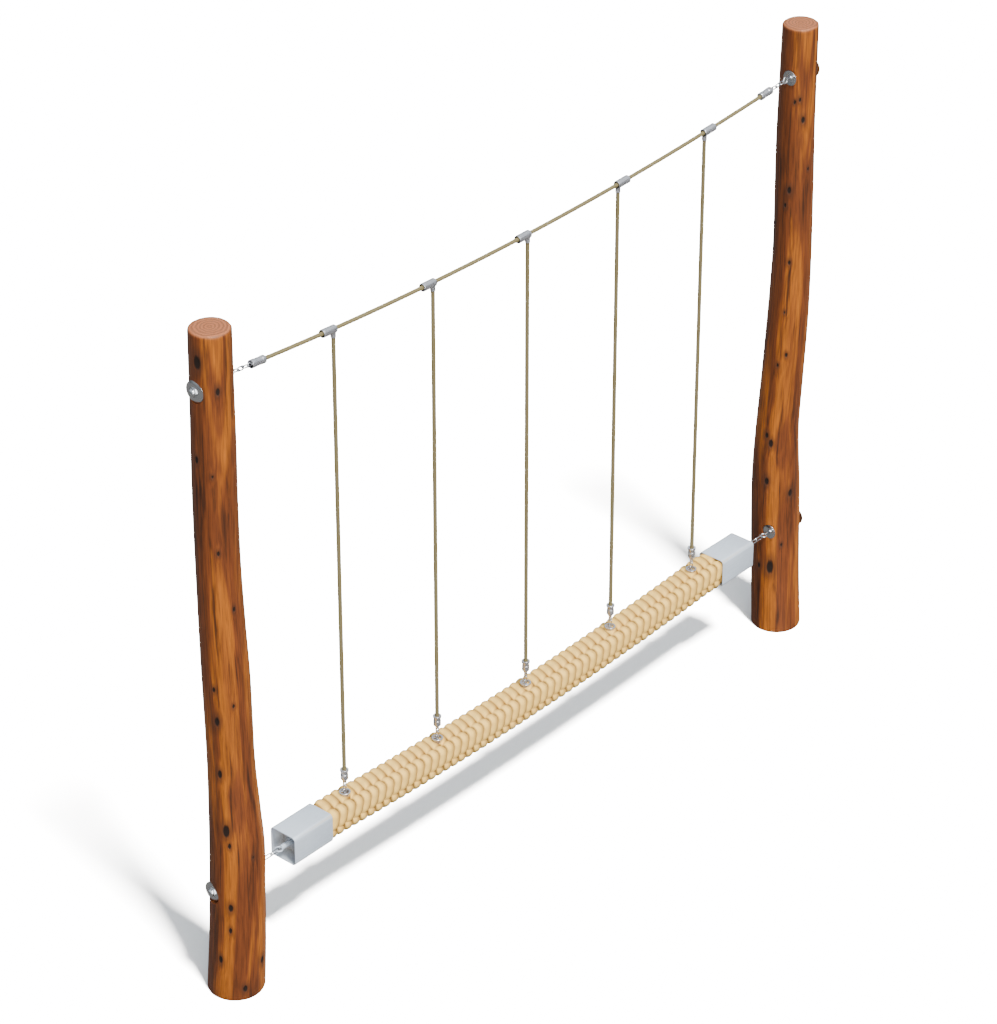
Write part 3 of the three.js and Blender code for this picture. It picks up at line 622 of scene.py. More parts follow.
def fibre_material(name, colour, count, lean, yarns, groove_start, groove_shade, depth, shade, underside):
    """Rope fibre that follows the strand, with painted shade in the grooves, down one flank and
    underneath.
    """
    material, tree, shader = new_material(name)
    across = attribute(tree, "across").outputs["Fac"]
    along = attribute(tree, "along").outputs["Fac"]
    fibres = use_group(tree, "Fibres", Across=across, Along=along, Count=count, Lean=lean,
                       Yarns=yarns)
    patches = use_group(tree, "Patches", Scale=14.0, Low=0.0, High=0.35)
    tone = between(tree, fibres.outputs["Tone"], 0.3, 0.72, 0.0, 1.0, False)
    mixed = blend_colours(tree, tone, scaled(colour, 0.8), scaled(colour, 1.12))
    mixed = blend_colours(tree, patches.outputs[0], mixed, tinted(colour, 1.0, 0.86, 0.66))
    # Painted shade in the grooves between strands: browner towards both edges of each strand.
    groove = calc(tree, "ABSOLUTE", calc(tree, "SUBTRACT", calc(tree, "MULTIPLY", across, 2.0), 1.0))
    painted_groove_shade = between(tree, groove, groove_start, 1.0, 0.0, groove_shade)
    mixed = blend_colours(tree, painted_groove_shade, mixed, tinted(colour, 0.22, 0.19, 0.17))
    # Painted shade down one flank of each strand, the side turned away from the light.
    flank = between(tree, across, 0.3, 0.95, 0.0, shade)
    mixed = blend_colours(tree, flank, mixed, tinted(colour, 0.33, 0.26, 0.18))
    # Painted shade on the underside of the plait, from its low attribute.
    low = between(tree, attribute(tree, "low").outputs["Fac"], 0.0, 1.0, 0.0, underside)
    mixed = blend_colours(tree, low, mixed, tinted(colour, 0.2, 0.2, 0.24))
    tree.links.new(mixed, shader.inputs["Base Color"])
    tree.links.new(between(tree, fibres.outputs["Tone"], 0.3, 0.7, 0.95, 0.8, False),
                   shader.inputs["Roughness"])
    shader.inputs["Specular IOR Level"].default_value = 0.25
    bump(tree, shader, fibres.outputs["Height"], depth)
    return material


def steel_material(name, colour, metallic, rough_low, rough_high, fineness, depth, painted_inside_light_and_shade=None):
    """Metal with fine working lines and dull patches; inside a tube or a cup a matt lining colour
    paints light (sleeves) and shade (ferrules, sockets).
    """
    material, tree, shader = new_material(name)
    lines = use_group(tree, "Brushed lines", Fineness=fineness, Stretch=0.04)
    patches = use_group(tree, "Patches", Scale=22.0, Low=rough_low, High=rough_high)
    dull = use_group(tree, "Patches", Scale=9.0, Low=0.0, High=0.3)
    tone = between(tree, lines.outputs[0], 0.3, 0.7, 0.9, 1.07, False)
    shade = add(tree, "ShaderNodeCombineColor", {0: tone, 1: tone, 2: tone}).outputs[0]
    mixed = blend_colours(tree, 1.0, colour, shade, "MULTIPLY")
    mixed = blend_colours(tree, dull.outputs[0], mixed, scaled(colour, 0.78))
    tree.links.new(mixed, shader.inputs["Base Color"])
    shader.inputs["Metallic"].default_value = metallic
    spread = between(tree, lines.outputs[0], 0.3, 0.7, -0.04, 0.05, False)
    tree.links.new(calc(tree, "ADD", patches.outputs[0], spread), shader.inputs["Roughness"])
    bump(tree, shader, lines.outputs[0], depth)
    # The matt lining colour replaces the metal inside: painted light in the sleeves, painted shade in
    # the ferrules and sockets.
    if painted_inside_light_and_shade:
        inside = attribute(tree, "inside").outputs["Fac"]
        tree.links.new(blend_colours(tree, inside, mixed, painted_inside_light_and_shade), shader.inputs["Base Color"])
        tree.links.new(between(tree, inside, 0.0, 1.0, metallic, 0.0), shader.inputs["Metallic"])
    return material


FINISHES = {
    "timber": "oiled_robinia",
    "rope": "laid_rope_fibre",
    "braid": "plaited_rope_fibre",
    "sleeve_steel": "satin_steel",
    "ferrule": "pressed_aluminium",
    "bright_steel": "polished_steel",
}


def finish_of(slot):
    """The material that a slot's pieces wear."""
    return bpy.data.materials[FINISHES[slot]]


def make_materials(scene):
    """All the finishes of the beam."""
    variation_group()
    fibre_group()
    brushed_group()
    steel = scene.beam_steel
    timber_material(FINISHES["timber"], scene.beam_timber)
    # Both fibres get painted shade in their grooves; the braid also gets painted shade down one flank
    # of each strand and on its underside.
    fibre_material(FINISHES["rope"], scene.beam_rope.colour, count=5.0, lean=160.0, yarns=2.0,
                   groove_start=0.6, groove_shade=0.35, depth=0.4 * MM, shade=0.0, underside=0.0)
    fibre_material(FINISHES["braid"], scene.beam_plait.colour, count=12.0, lean=60.0, yarns=1.0,
                   groove_start=0.5, groove_shade=1.0, depth=1.6 * MM, shade=0.95, underside=0.95)
    # The sleeves' pale matt lining is painted light inside the tube.
    steel_material(FINISHES["sleeve_steel"], steel.sleeve, metallic=0.2, rough_low=0.38,
                   rough_high=0.48, fineness=500.0, depth=0.03 * MM, painted_inside_light_and_shade=(0.5, 0.49, 0.47))
    # The ferrules' near-black lining is painted shade in their mouths and bores and inside the
    # sockets.
    steel_material(FINISHES["ferrule"], steel.ferrule, metallic=0.9, rough_low=0.2,
                   rough_high=0.32, fineness=900.0, depth=0.03 * MM, painted_inside_light_and_shade=(0.02, 0.02, 0.025))
    steel_material(FINISHES["bright_steel"], steel.bright, metallic=1.0, rough_low=0.14,
                   rough_high=0.26, fineness=1200.0, depth=0.02 * MM)


# ------------------------------------------------------------------ mesh helpers


def smooth(mesh, angle=35.0):
    """Smooth shading, with edges sharper than an angle kept crisp."""
    mesh.shade_smooth()
    mesh.set_sharp_from_angle(angle=math.radians(angle))
    return mesh


def mesh_from(name, make):
    """A mesh filled by a function that works on a bmesh, with its faces turned outwards."""
    shape = bmesh.new()
    make(shape)
    bmesh.ops.remove_doubles(shape, verts=shape.verts, dist=1e-6)
    bmesh.ops.recalc_face_normals(shape, faces=shape.faces)
    mesh = bpy.data.meshes.new(name)
    shape.to_mesh(mesh)
    shape.free()
    return mesh


def rounded(profile, steps=5):
    """A profile of (along, radius, fillet) corners as (along, radius) points with round corners."""
    points = []
    for place, (along, radius, fillet) in enumerate(profile):
        corner = Vector((along, radius))
        if fillet <= 0 or place in (0, len(profile) - 1):
            points.append(corner)
            continue
        before = (Vector(profile[place - 1][:2]) - corner).normalized()
        after = (Vector(profile[place + 1][:2]) - corner).normalized()
        half = before.angle(after) / 2
        centre = corner + (before + after).normalized() * (fillet / math.sin(half))
        start = corner + before * (fillet / math.tan(half)) - centre
        finish = corner + after * (fillet / math.tan(half)) - centre
        sweep = start.angle_signed(finish)
        for step in range(steps + 1):
            turn = Matrix.Rotation(-sweep * step / steps, 2)
            points.append(centre + turn @ start)
    return points


def lathe(name, profile, facets, closed=False):
    """A surface of revolution about X; the profile starts and ends on the axis or is a loop."""
    def make(shape):
        rings = []
        for along, radius in profile:
            if radius < TINY:
                rings.append([shape.verts.new((along, 0, 0))])
                continue
            angles = [FULL_TURN * side / facets for side in range(facets)]
            rings.append([shape.verts.new((along, radius * math.cos(a), radius * math.sin(a)))
                          for a in angles])
        pairs = list(zip(rings, rings[1:]))
        if closed:
            pairs.append((rings[-1], rings[0]))
        for near, far in pairs:
            for side in range(facets):
                beside = (side + 1) % facets
                corners = (near[side % len(near)], near[beside % len(near)],
                           far[beside % len(far)], far[side % len(far)])
                different = list(dict.fromkeys(corners))
                if len(different) > 2:
                    shape.faces.new(different)
    return mesh_from(name, make)


def boolean(mesh, tool, operation="DIFFERENCE"):
    """A mesh cut by or joined to another."""
    holders = []
    for name, data in (("host", mesh), ("tool", tool)):
        holder = bpy.data.objects.new(name, data)
        bpy.context.scene.collection.objects.link(holder)
        holders.append(holder)
    modifier = holders[0].modifiers.new("boolean", "BOOLEAN")
    modifier.operation = operation
    modifier.solver = "EXACT"
    modifier.object = holders[1]
    bpy.context.view_layer.update()
    evaluated = holders[0].evaluated_get(bpy.context.evaluated_depsgraph_get())
    result = bpy.data.meshes.new_from_object(evaluated)
    for holder in holders:
        bpy.data.objects.remove(holder)
    result.name = mesh.name
    return result


def moved(mesh, matrix):
    copy = mesh.copy()
    copy.transform(matrix)
    return copy


def torus(name, ring_r, wire_r, axis, steps=48, sides=16):
    """A closed ring of round wire in the plane across an axis."""
    def make(shape):
        rings = []
        for step in range(steps):
            angle = FULL_TURN * step / steps
            ring = []
            for side in range(sides):
                around = FULL_TURN * side / sides
                radius = ring_r + wire_r * math.cos(around)
                ring.append(shape.verts.new((radius * math.cos(angle), radius * math.sin(angle),
                                             wire_r * math.sin(around))))
            rings.append(ring)
        for step in range(steps):
            here, there = rings[step], rings[(step + 1) % steps]
            for side in range(sides):
                beside = (side + 1) % sides
                shape.faces.new((here[side], there[side], there[beside], here[beside]))
    mesh = mesh_from(name, make)
    mesh.transform(Vector((0, 0, 1)).rotation_difference(axis).to_matrix().to_4x4())
    return mesh


def mark_inside(mesh, is_inside):
    """Marks the surfaces inside a tube or a cup, which get a lining colour: painted light in the
    sleeves, painted shade in the ferrules and sockets.
    """
    values = [float(is_inside(vertex.co)) for vertex in mesh.vertices]
    mesh.attributes.new("inside", "FLOAT", "POINT").data.foreach_set("value", values)
    return mesh


def point_mesh(places):
    """A mesh of loose points, each with a turn: places are (point, Euler angles)."""
    mesh = bpy.data.meshes.new("places")
    mesh.from_pydata([point for point, _ in places], [], [])
    turns = mesh.attributes.new("turn", "FLOAT_VECTOR", "POINT")
    turns.data.foreach_set("vector", np.array([tuple(turn) for _, turn in places], float).ravel())
    return mesh


def copies(name, unit_mesh, places, material):
    """Copies of a unit at places, as one plain mesh."""
    unit = bpy.data.objects.new("unit", unit_mesh)
    bpy.context.scene.collection.objects.link(unit)
    tree = bpy.data.node_groups.get("Copies at points") or copies_tree()
    mesh = evaluate(name, point_mesh(places), tree, {"Unit": unit, "Finish": material})
    bpy.data.objects.remove(unit)
    return mesh


def show(name, mesh, body, slot, *nodes):
    """Puts a finished mesh in the scene in place of its CAD nodes."""
    piece = bpy.data.objects.new(name, mesh)
    bpy.context.scene.collection.objects.link(piece)
    mesh.materials.clear()
    mesh.materials.append(finish_of(slot))
    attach(piece, body)
    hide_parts(*nodes)
    return piece


# ------------------------------------------------------------------ posts

# Knots: height, direction round the post (0 is +X, 90 is +Y) and radius.
KNOTS = {
    "left": [
        (2499, -119, 8), (2604, -170, 15), (2233, 178, 9), (2180, -140, 5), (1880, -132, 6),
        (1333, -165, 7), (1270, -120, 6), (1204, -162, 12), (989, -163, 10), (760, -156, 13),
        (700, -150, 6), (640, -100, 6), (434, -149, 10), (330, -150, 7), (185, -171, 10),
        (154, -77, 11), (56, -119, 9), (1650, -100, 6), (2350, 60, 10), (1500, 95, 11),
        (820, 40, 13), (1900, 20, 8), (380, 120, 12), (1120, -20, 9),
    ],
    "right": [
        (2314, -123, 9), (2400, -135, 6), (2390, -150, 5), (2100, -100, 5), (2014, -158, 10),
        (1947, -169, 7), (1700, -150, 7), (1480, -155, 5), (1290, -140, 7), (1240, -160, 6),
        (913, -171, 9), (880, -158, 10), (700, -165, 11), (640, -105, 12), (402, -128, 6),
        (298, -155, 17), (292, 176, 9), (2300, 40, 9), (1600, 100, 12), (1050, 60, 10),
        (520, 20, 12), (1850, 150, 7), (240, 80, 11),
    ],
}
RING_POINTS = 16
TOP_ROUNDING = 12 * MM
FOOT_ROUNDING = 4 * MM
FOOT_R = 100 * MM
TOP_RINGS = 9
SEAT_REACH = 120 * MM
KNOT_SWELL = 1.8 * MM
KNOT_DENT = 2.0 * MM
GRAIN_BEND = 4 * MM
SAWN_START = 8 * MM
SAWN_FADE = 6 * MM
INNER_SEAT_R = 32 * MM
OUTER_SEAT_R = 42 * MM
DISH_TO_SEAT = 7.4 * MM
NUT_TO_SEAT = 0.4 * MM


def post_stations(node):
    """Height, centre and radius at each whole ring of a CAD post, from a circle through it."""
    points = np.unique(np.round(vertices(node), 5), axis=0)
    top = points[:, 2].max()
    stations = []
    for height in np.unique(points[:, 2]):
        ring = points[points[:, 2] == height]
        if len(ring) < RING_POINTS or height > top - TOP_ROUNDING + 0.1 * MM:
            continue
        flat = ring[:, :2]
        equations = np.c_[2 * flat, np.ones(len(flat))]
        x, y, rest = np.linalg.lstsq(equations, (flat**2).sum(1), rcond=None)[0]
        stations.append((height, x, y, math.sqrt(rest + x * x + y * y)))
    return np.array(stations), float(top)


def eased(at, places, values):
    """A smooth line through values, with the slope at each from its neighbours."""
    slopes = np.gradient(values, places)
    spot = int(np.clip(np.searchsorted(places, at) - 1, 0, len(places) - 2))
    width = places[spot + 1] - places[spot]
    t = min(max((at - places[spot]) / width, 0.0), 1.0)
    return ((2 * t**3 - 3 * t**2 + 1) * values[spot] + (t**3 - 2 * t**2 + t) * width * slopes[spot]
            + (3 * t**2 - 2 * t**3) * values[spot + 1] + (t**3 - t**2) * width * slopes[spot + 1])


class Trunk:
    """The shape of one post: a bent, tapering trunk with swellings at its knots."""

    def __init__(self, side, lumps):
        self.stations, self.top = post_stations(f"post_{side}")
        self.lumps = lumps
        self.seed = 40.0 * SIDES[side]
        self.knots = []
        for height, direction, radius in KNOTS[side]:
            angle = math.radians(direction)
            x, y, trunk_r = self.at(height * MM)
            spot = Vector((x + trunk_r * math.cos(angle), y + trunk_r * math.sin(angle), height * MM))
            self.knots.append((spot, radius * MM))

    def at(self, height):
        return [eased(height, self.stations[:, 0], self.stations[:, column]) for column in (1, 2, 3)]

    def nearest_knot(self, point):
        """The distance to the nearest knot in knot radii, taller than wide."""
        best = 9.0
        for spot, radius in self.knots:
            away = point - spot
            best = min(best, math.hypot(away.x, away.y, away.z * 0.5) / radius)
        return best

    def surface(self, angle, height):
        """A point of the side, with the trunk's lumps and the swelling round its knots."""
        x, y, radius = self.at(height)
        out = Vector((math.cos(angle), math.sin(angle), 0))
        broad = noise.noise(Vector((1.3 * out.x, 1.3 * out.y, 2.6 * height + self.seed)))
        ridges = noise.noise(Vector((5.0 * out.x, 5.0 * out.y, 0.9 * height - self.seed)))
        point = Vector((x, y, height)) + out * (radius + self.lumps * (broad + 0.5 * ridges))
        reach = self.nearest_knot(point)
        swell = KNOT_SWELL * math.exp(-(reach / 1.9) ** 2)
        dent = KNOT_DENT * math.exp(-(reach / 0.6) ** 2)
        return point + out * (swell - dent)


def post_mesh(side, settings):
    """A post with its rounded foot and top and the flat seats of its bolts."""
    trunk = Trunk(side, settings.lumps)
    facets = settings.facets
    straight = trunk.top - TOP_ROUNDING
    heights = list(np.linspace(FOOT_ROUNDING, straight, round(straight / settings.ring_step)))
    angles = [FULL_TURN * place / facets for place in range(facets)]
    rings = [[trunk.surface(angle, height) for angle in angles] for height in heights]

    def inset_ring(ring, height, share):
        x, y, _ = trunk.at(height)
        centre = Vector((x, y, 0))
        result = []
        for point in ring:
            flat = Vector((point.x, point.y, 0)) - centre
            kept = centre + flat * share
            result.append(Vector((kept.x, kept.y, height)))
        return result

    rings.insert(0, inset_ring(rings[0], 0.0, 1 - FOOT_ROUNDING / FOOT_R))
    rings.insert(1, inset_ring(rings[1], FOOT_ROUNDING * 0.35, 1 - FOOT_ROUNDING * 0.35 / FOOT_R))
    rim = rings[-1]
    radius = trunk.at(straight)[2]
    for step in range(1, 7):
        turn = math.radians(15 * step)
        share = 1 - TOP_ROUNDING * (1 - math.cos(turn)) / radius
        rings.append(inset_ring(rim, straight + TOP_ROUNDING * math.sin(turn), share))
    top_share = 1 - TOP_ROUNDING / radius
    for step in range(1, TOP_RINGS):
        rings.append(inset_ring(rim, trunk.top, top_share * (1 - step / TOP_RINGS)))

    def make(shape):
        made = [[shape.verts.new(point) for point in ring] for ring in rings]
        for low, high in zip(made, made[1:]):
            for place in range(facets):
                beside = (place + 1) % facets
                shape.faces.new((low[place], low[beside], high[beside], high[place]))
        shape.faces.new(made[0])
        shape.faces.new(made[-1])

    mesh = mesh_from(f"post_{side}", make)
    for level in ("upper", "lower"):
        bolt = bolt_place(side, level)
        for seat, radius, outwards in ((bolt["inner"], INNER_SEAT_R, -SIDES[side]),
                                       (bolt["outer"], OUTER_SEAT_R, SIDES[side])):
            start, stop = sorted((seat, seat + outwards * SEAT_REACH))
            drill = lathe("drill", [(start, 0), (start, radius), (stop, radius), (stop, 0)], 64)
            drill.transform(Matrix.Translation((0, 0, bolt["height"])))
            mesh = boolean(mesh, drill)
    write_timber_attributes(mesh, trunk)
    return smooth(mesh, 32)


def write_timber_attributes(mesh, trunk):
    """The straightened trunk, the distance to the nearest knot and the sawn end, at each vertex."""
    straightened, knots, ends = [], [], []
    for vertex in mesh.vertices:
        point = vertex.co
        x, y, _ = trunk.at(point.z)
        reach = trunk.nearest_knot(point)
        bend = GRAIN_BEND * math.exp(-(reach / 3.0) ** 2)
        straightened.append((point.x - x + bend, point.y - y + bend, point.z))
        knots.append(reach)
        ends.append(min(max((point.z - trunk.top + SAWN_START) / SAWN_FADE, 0.0), 1.0))
    place = mesh.attributes.new("trunk", "FLOAT_VECTOR", "POINT")
    place.data.foreach_set("vector", np.array(straightened).ravel())
    for name, values in (("knot", knots), ("end_grain", ends)):
        mesh.attributes.new(name, "FLOAT", "POINT").data.foreach_set("value", values)


# ------------------------------------------------------------------ eye bolts and cap nuts

BOLT_R = 6 * MM
EYE_R = 12.5 * MM
EYE_WIRE_R = 3.5 * MM
DISH_BACK_R = 13 * MM
DISH_RIM_R = 30 * MM
DISH_DEPTH = 10 * MM
DISH_WALL = 3 * MM
NUT_DEPTH = 12 * MM
WASHER_R = 40 * MM
WASHER_EDGE = 2 * MM
CROWN_R = 24 * MM
CROWN_HEIGHT = 8 * MM
NUT_R = 17 * MM
NUT_HEIGHT = 5 * MM
DOME_R = 14.5 * MM
DOME_HEIGHT = 10.5 * MM
DOME_STEPS = 12


def bolt_place(side, level):
    """Where a bolt goes through its post: its height, seats and eye."""
    sign = SIDES[side]
    bolt, nut = f"eye_bolt_{side}_{level}", f"cap_nut_{side}_{level}"
    height = middle(nut).z
    points = vertices(bolt)
    points[:, 2] -= height
    rim = points[np.hypot(points[:, 1], points[:, 2]) > DISH_RIM_R - 0.5 * MM]
    low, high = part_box(nut)
    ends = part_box(bolt)
    if sign < 0:
        inner, outer = rim[:, 0].min() - DISH_TO_SEAT, high.x + NUT_TO_SEAT
        eye = ends[1].x - EYE_R - EYE_WIRE_R
    else:
        inner, outer = rim[:, 0].max() + DISH_TO_SEAT, low.x - NUT_TO_SEAT
        eye = ends[0].x + EYE_R + EYE_WIRE_R
    return {"height": height, "inner": float(inner), "outer": float(outer), "eye": float(eye)}


def eye_bolt_mesh(name, stand_off, shank, eye_axis, facets):
    """Along +X from its seat: shank behind, dished washer, neck and eye."""
    gap = NUT_TO_SEAT
    neck_end = stand_off - EYE_R + EYE_WIRE_R / 2
    dish = DISH_DEPTH
    stem = lathe(name, rounded([
        (-shank, 0, 0),
        (-shank, BOLT_R, 0.8 * MM),
        (gap, BOLT_R, 0),
        (gap, DISH_BACK_R, 1 * MM),
        (gap + dish - DISH_WALL, DISH_RIM_R, 0.8 * MM),
        (gap + dish - 0.4 * MM, DISH_RIM_R, 0.6 * MM),
        (gap + DISH_WALL, DISH_BACK_R, 2 * MM),
        (gap + DISH_WALL, BOLT_R + 2.5 * MM, 1.5 * MM),
        (gap + DISH_WALL + 5 * MM, BOLT_R, 1 * MM),
        (neck_end, BOLT_R - 0.6 * MM, 1 * MM),
        (neck_end, 0, 0),
    ]), facets)
    ring = torus("eye", EYE_R, EYE_WIRE_R, eye_axis)
    ring.transform(Matrix.Translation((stand_off, 0, 0)))
    return boolean(stem, ring, "UNION")


def cap_nut_mesh(facets):
    """Along +X from the outer seat: domed washer, hexagon with chamfered corners, dome."""
    washer = lathe("cap_nuts", rounded([
        (NUT_TO_SEAT, 0, 0),
        (NUT_TO_SEAT, WASHER_R, 0.4 * MM),
        (WASHER_EDGE, WASHER_R, 1 * MM),
        ((WASHER_EDGE + CROWN_HEIGHT) / 2 + MM, (WASHER_R + CROWN_R) / 2, 10 * MM),
        (CROWN_HEIGHT, CROWN_R, 4 * MM),
        (CROWN_HEIGHT, NUT_R + 3 * MM, 0),
        (CROWN_HEIGHT - 1.4 * MM, NUT_R + 1.6 * MM, 0.6 * MM),
        (CROWN_HEIGHT - 1.4 * MM, 0, 0),
    ]), 2 * facets)
    foot, head = CROWN_HEIGHT - 2 * MM, CROWN_HEIGHT + NUT_HEIGHT
    hexagon = lathe("hexagon", [(foot, 0), (foot, NUT_R), (head, NUT_R), (head, 0)], 6)
    cone = lathe("cone", rounded([
        (foot - MM, 0, 0),
        (foot - MM, NUT_R + MM, 0),
        (head - 2.5 * MM, NUT_R + 0.6 * MM, 0.5 * MM),
        (head, NUT_R - 2 * MM, 0.5 * MM),
        (head, 0, 0),
    ]), facets)
    hexagon = boolean(hexagon, cone, "INTERSECT")
    dome = [(head + DOME_HEIGHT * math.sin(turn), DOME_R * math.cos(turn))
            for turn in np.linspace(0, math.pi / 2, DOME_STEPS)]
    dome[-1] = (dome[-1][0], 0)
    cap = lathe("dome", [(head - MM, 0), (head - MM, DOME_R), *dome], facets)
    return boolean(boolean(washer, hexagon, "UNION"), cap, "UNION")


# ------------------------------------------------------------------ ropes, ferrules and chains

ROPE_STEP = 6 * MM
TOP_ROPE_POINTS = 33
HAND_ROPE_POINTS = 17


def rope_mesh(name, path, settings):
    """A laid rope along a list of points."""
    line = bpy.data.meshes.new("path")
    line.from_pydata(path, [(place, place + 1) for place in range(len(path) - 1)], [])
    tree = bpy.data.node_groups.get("Laid rope") or rope_tree()
    return evaluate(name, line, tree, {
        "Radius": ROPE_R,
        "Strands": settings.strands,
        "Lay": settings.lay,
        "Step": ROPE_STEP,
        "Finish": finish_of("rope"),
    })


FERRULE_R = 15.5 * MM
END_FERRULE_LENGTH = 64 * MM
MOUTH_DEPTH = 18 * MM
MOUTH_R = 11.5 * MM
CROSS_PIN_IN = 8 * MM
CROSS_PIN_R = 4 * MM
ROPE_BORE_R = ROPE_R + 0.3 * MM
TEE_LENGTH = 64 * MM
TEE_ASIDE = 24 * MM
COLLAR_R = 10 * MM
FLARE_R = 12.5 * MM
FLARE_DEPTH = 9 * MM
COLLAR_DROP = 31 * MM
ROPE_IN_COLLAR = 12 * MM
LOWER_FERRULE_R = 14.5 * MM
FLANGE_R = 16.5 * MM
LUG_R = 8.5 * MM
LUG_DROP = 9.5 * MM
CONE_START = 19 * MM
FERRULE_FOOT = 25 * MM
FERRULE_TOP = 67 * MM
LUG_HOLE_R = 5 * MM
LUG_HALF = 2 * MM


def end_ferrule_mesh(facets):
    """Along +X towards the post: a thick pressed tube, a mouth and a cross pin for the chain."""
    half = END_FERRULE_LENGTH / 2
    tube = lathe("end_ferrules", rounded([
        (-half, ROPE_BORE_R, 1 * MM),
        (-half, FERRULE_R, 2.2 * MM),
        (-half + 14 * MM, FERRULE_R, 1 * MM),
        (-half + 16 * MM, FERRULE_R - 0.8 * MM, 1 * MM),
        (half - 20 * MM, FERRULE_R - 0.8 * MM, 1 * MM),
        (half - 18 * MM, FERRULE_R, 1 * MM),
        (half, FERRULE_R, 1.2 * MM),
        (half, MOUTH_R, 1 * MM),
        (half - MOUTH_DEPTH, MOUTH_R, 1 * MM),
        (half - MOUTH_DEPTH, ROPE_BORE_R, 0.5 * MM),
    ]), facets, closed=True)
    pin = lathe("pin", rounded([
        (-FERRULE_R + MM, 0, 0),
        (-FERRULE_R + MM, CROSS_PIN_R, 0.5 * MM),
        (FERRULE_R - MM, CROSS_PIN_R, 0.5 * MM),
        (FERRULE_R - MM, 0, 0),
    ]), facets)
    pin.transform(Matrix.Rotation(math.pi / 2, 4, "Z"))
    pin.transform(Matrix.Translation((half - CROSS_PIN_IN, 0, 0)))

    def in_mouth(point):
        beside_pin = abs(point.x - half + CROSS_PIN_IN) > CROSS_PIN_R + 0.1 * MM
        return beside_pin and math.hypot(point.y, point.z) < MOUTH_R + 0.8 * MM

    # The mouth beside the pin gets the ferrules' near-black lining: painted shade.
    return mark_inside(boolean(tube, pin, "UNION"), in_mouth)


def tee_ferrule_mesh(slope, aside, facets):
    """A tube on the sloping top rope, to one side of the collar that takes the hand rope."""
    half = TEE_LENGTH / 2
    body = lathe("tee", rounded([
        (-half, 0, 0), (-half, FERRULE_R, 2 * MM), (half, FERRULE_R, 2 * MM), (half, 0, 0),
    ]), facets)
    body.transform(Matrix.Rotation(-slope, 4, "Y") @ Matrix.Translation((-aside, 0, 0)))
    collar = lathe("collar", rounded([
        (0, 0, 0),
        (0, COLLAR_R, 0),
        (COLLAR_DROP - 6 * MM, COLLAR_R - 0.3 * MM, 0),
        (COLLAR_DROP - 5 * MM, COLLAR_R, 0.5 * MM),
        (COLLAR_DROP, COLLAR_R, 0.6 * MM),
        (COLLAR_DROP, 0, 0),
    ]), facets)
    collar.transform(Matrix.Rotation(math.pi / 2, 4, "Y"))
    whole = boolean(body, collar, "UNION")
    reach = 2 * TEE_LENGTH
    bore = lathe("bore", [
        (-reach, 0), (-reach, FLARE_R), (FLARE_DEPTH - half, FLARE_R),
        (FLARE_DEPTH + 2 * MM - half, ROPE_BORE_R), (half - 3 * MM, ROPE_BORE_R),
        (half - MM, FLARE_R), (reach, FLARE_R), (reach, 0),
    ], facets)
    if aside < 0:
        bore.transform(Matrix.Rotation(math.pi, 4, "Z"))
    sloped = moved(bore, Matrix.Rotation(-slope, 4, "Y") @ Matrix.Translation((-aside, 0, 0)))
    drop = ROPE_IN_COLLAR
    upright = lathe("bore", [
        (drop, 0), (drop, ROPE_BORE_R), (reach, ROPE_BORE_R), (reach, 0),
    ], facets)
    upright.transform(Matrix.Rotation(math.pi / 2, 4, "Y"))
    whole = boolean(boolean(whole, sloped), upright)

    def in_bore(point):
        above = point.z * math.cos(slope) - point.x * math.sin(slope)
        return math.hypot(point.y, above) < FLARE_R + 0.2 * MM

    # The bores get the ferrules' near-black lining: painted shade.
    return mark_inside(whole, in_bore)


def lower_ferrule_mesh(facets):
    """Upright, with its lug's hole at the origin and a bore for the rope at the top."""
    full_r, pressed_r = LOWER_FERRULE_R, LOWER_FERRULE_R - 1 * MM
    body = lathe("rope_end_ferrules", rounded([
        (-LUG_DROP, 0, 0),
        (-LUG_DROP, LUG_R, 3 * MM),
        (CONE_START, LUG_R, 2 * MM),
        (FERRULE_FOOT, full_r, 2 * MM),
        (FERRULE_TOP - 22 * MM, full_r, 0.8 * MM),
        (FERRULE_TOP - 20 * MM, pressed_r, 0.8 * MM),
        (FERRULE_TOP - 10 * MM, pressed_r, 0.8 * MM),
        (FERRULE_TOP - 7 * MM, FLANGE_R, 0.8 * MM),
        (FERRULE_TOP, FLANGE_R, 1.4 * MM),
        (FERRULE_TOP, ROPE_BORE_R, 0.8 * MM),
        (FERRULE_FOOT + 4 * MM, ROPE_BORE_R, 0),
        (FERRULE_FOOT + 4 * MM, 0, 0),
    ]), facets)
    body.transform(Matrix.Rotation(-math.pi / 2, 4, "Y"))
    reach, top = 20 * MM, CONE_START - 2 * MM
    hole = lathe("hole", rounded([
        (-LUG_HALF - MM, 0, 0), (-LUG_HALF - MM, LUG_HOLE_R + 1.6 * MM, 0),
        (0, LUG_HOLE_R, 2.5 * MM),
        (LUG_HALF + MM, LUG_HOLE_R + 1.6 * MM, 0), (LUG_HALF + MM, 0, 0),
    ]), facets)
    hole.transform(Matrix.Rotation(math.pi / 2, 4, "Z"))
    for sign in (1, -1):
        cheek = lathe("cheek", [
            (LUG_HALF, 0), (LUG_HALF, reach), (reach, reach), (reach, 0),
        ], facets)
        cheek.transform(Matrix.Rotation(sign * math.pi / 2, 4, "Z"))
        cheek.transform(Matrix.Translation((0, 0, top - reach)))
        body = boolean(body, cheek)
    return boolean(body, hole)


SOCKET_R = 19 * MM
SOCKET_RIM_R = 22 * MM
SOCKET_HEIGHT = 34 * MM
SOCKET_INNER_R = 15.5 * MM
SOCKET_DEPTH = 21 * MM
SOCKET_PIN_R = 3 * MM
SOCKET_PIN_DROP = 8 * MM


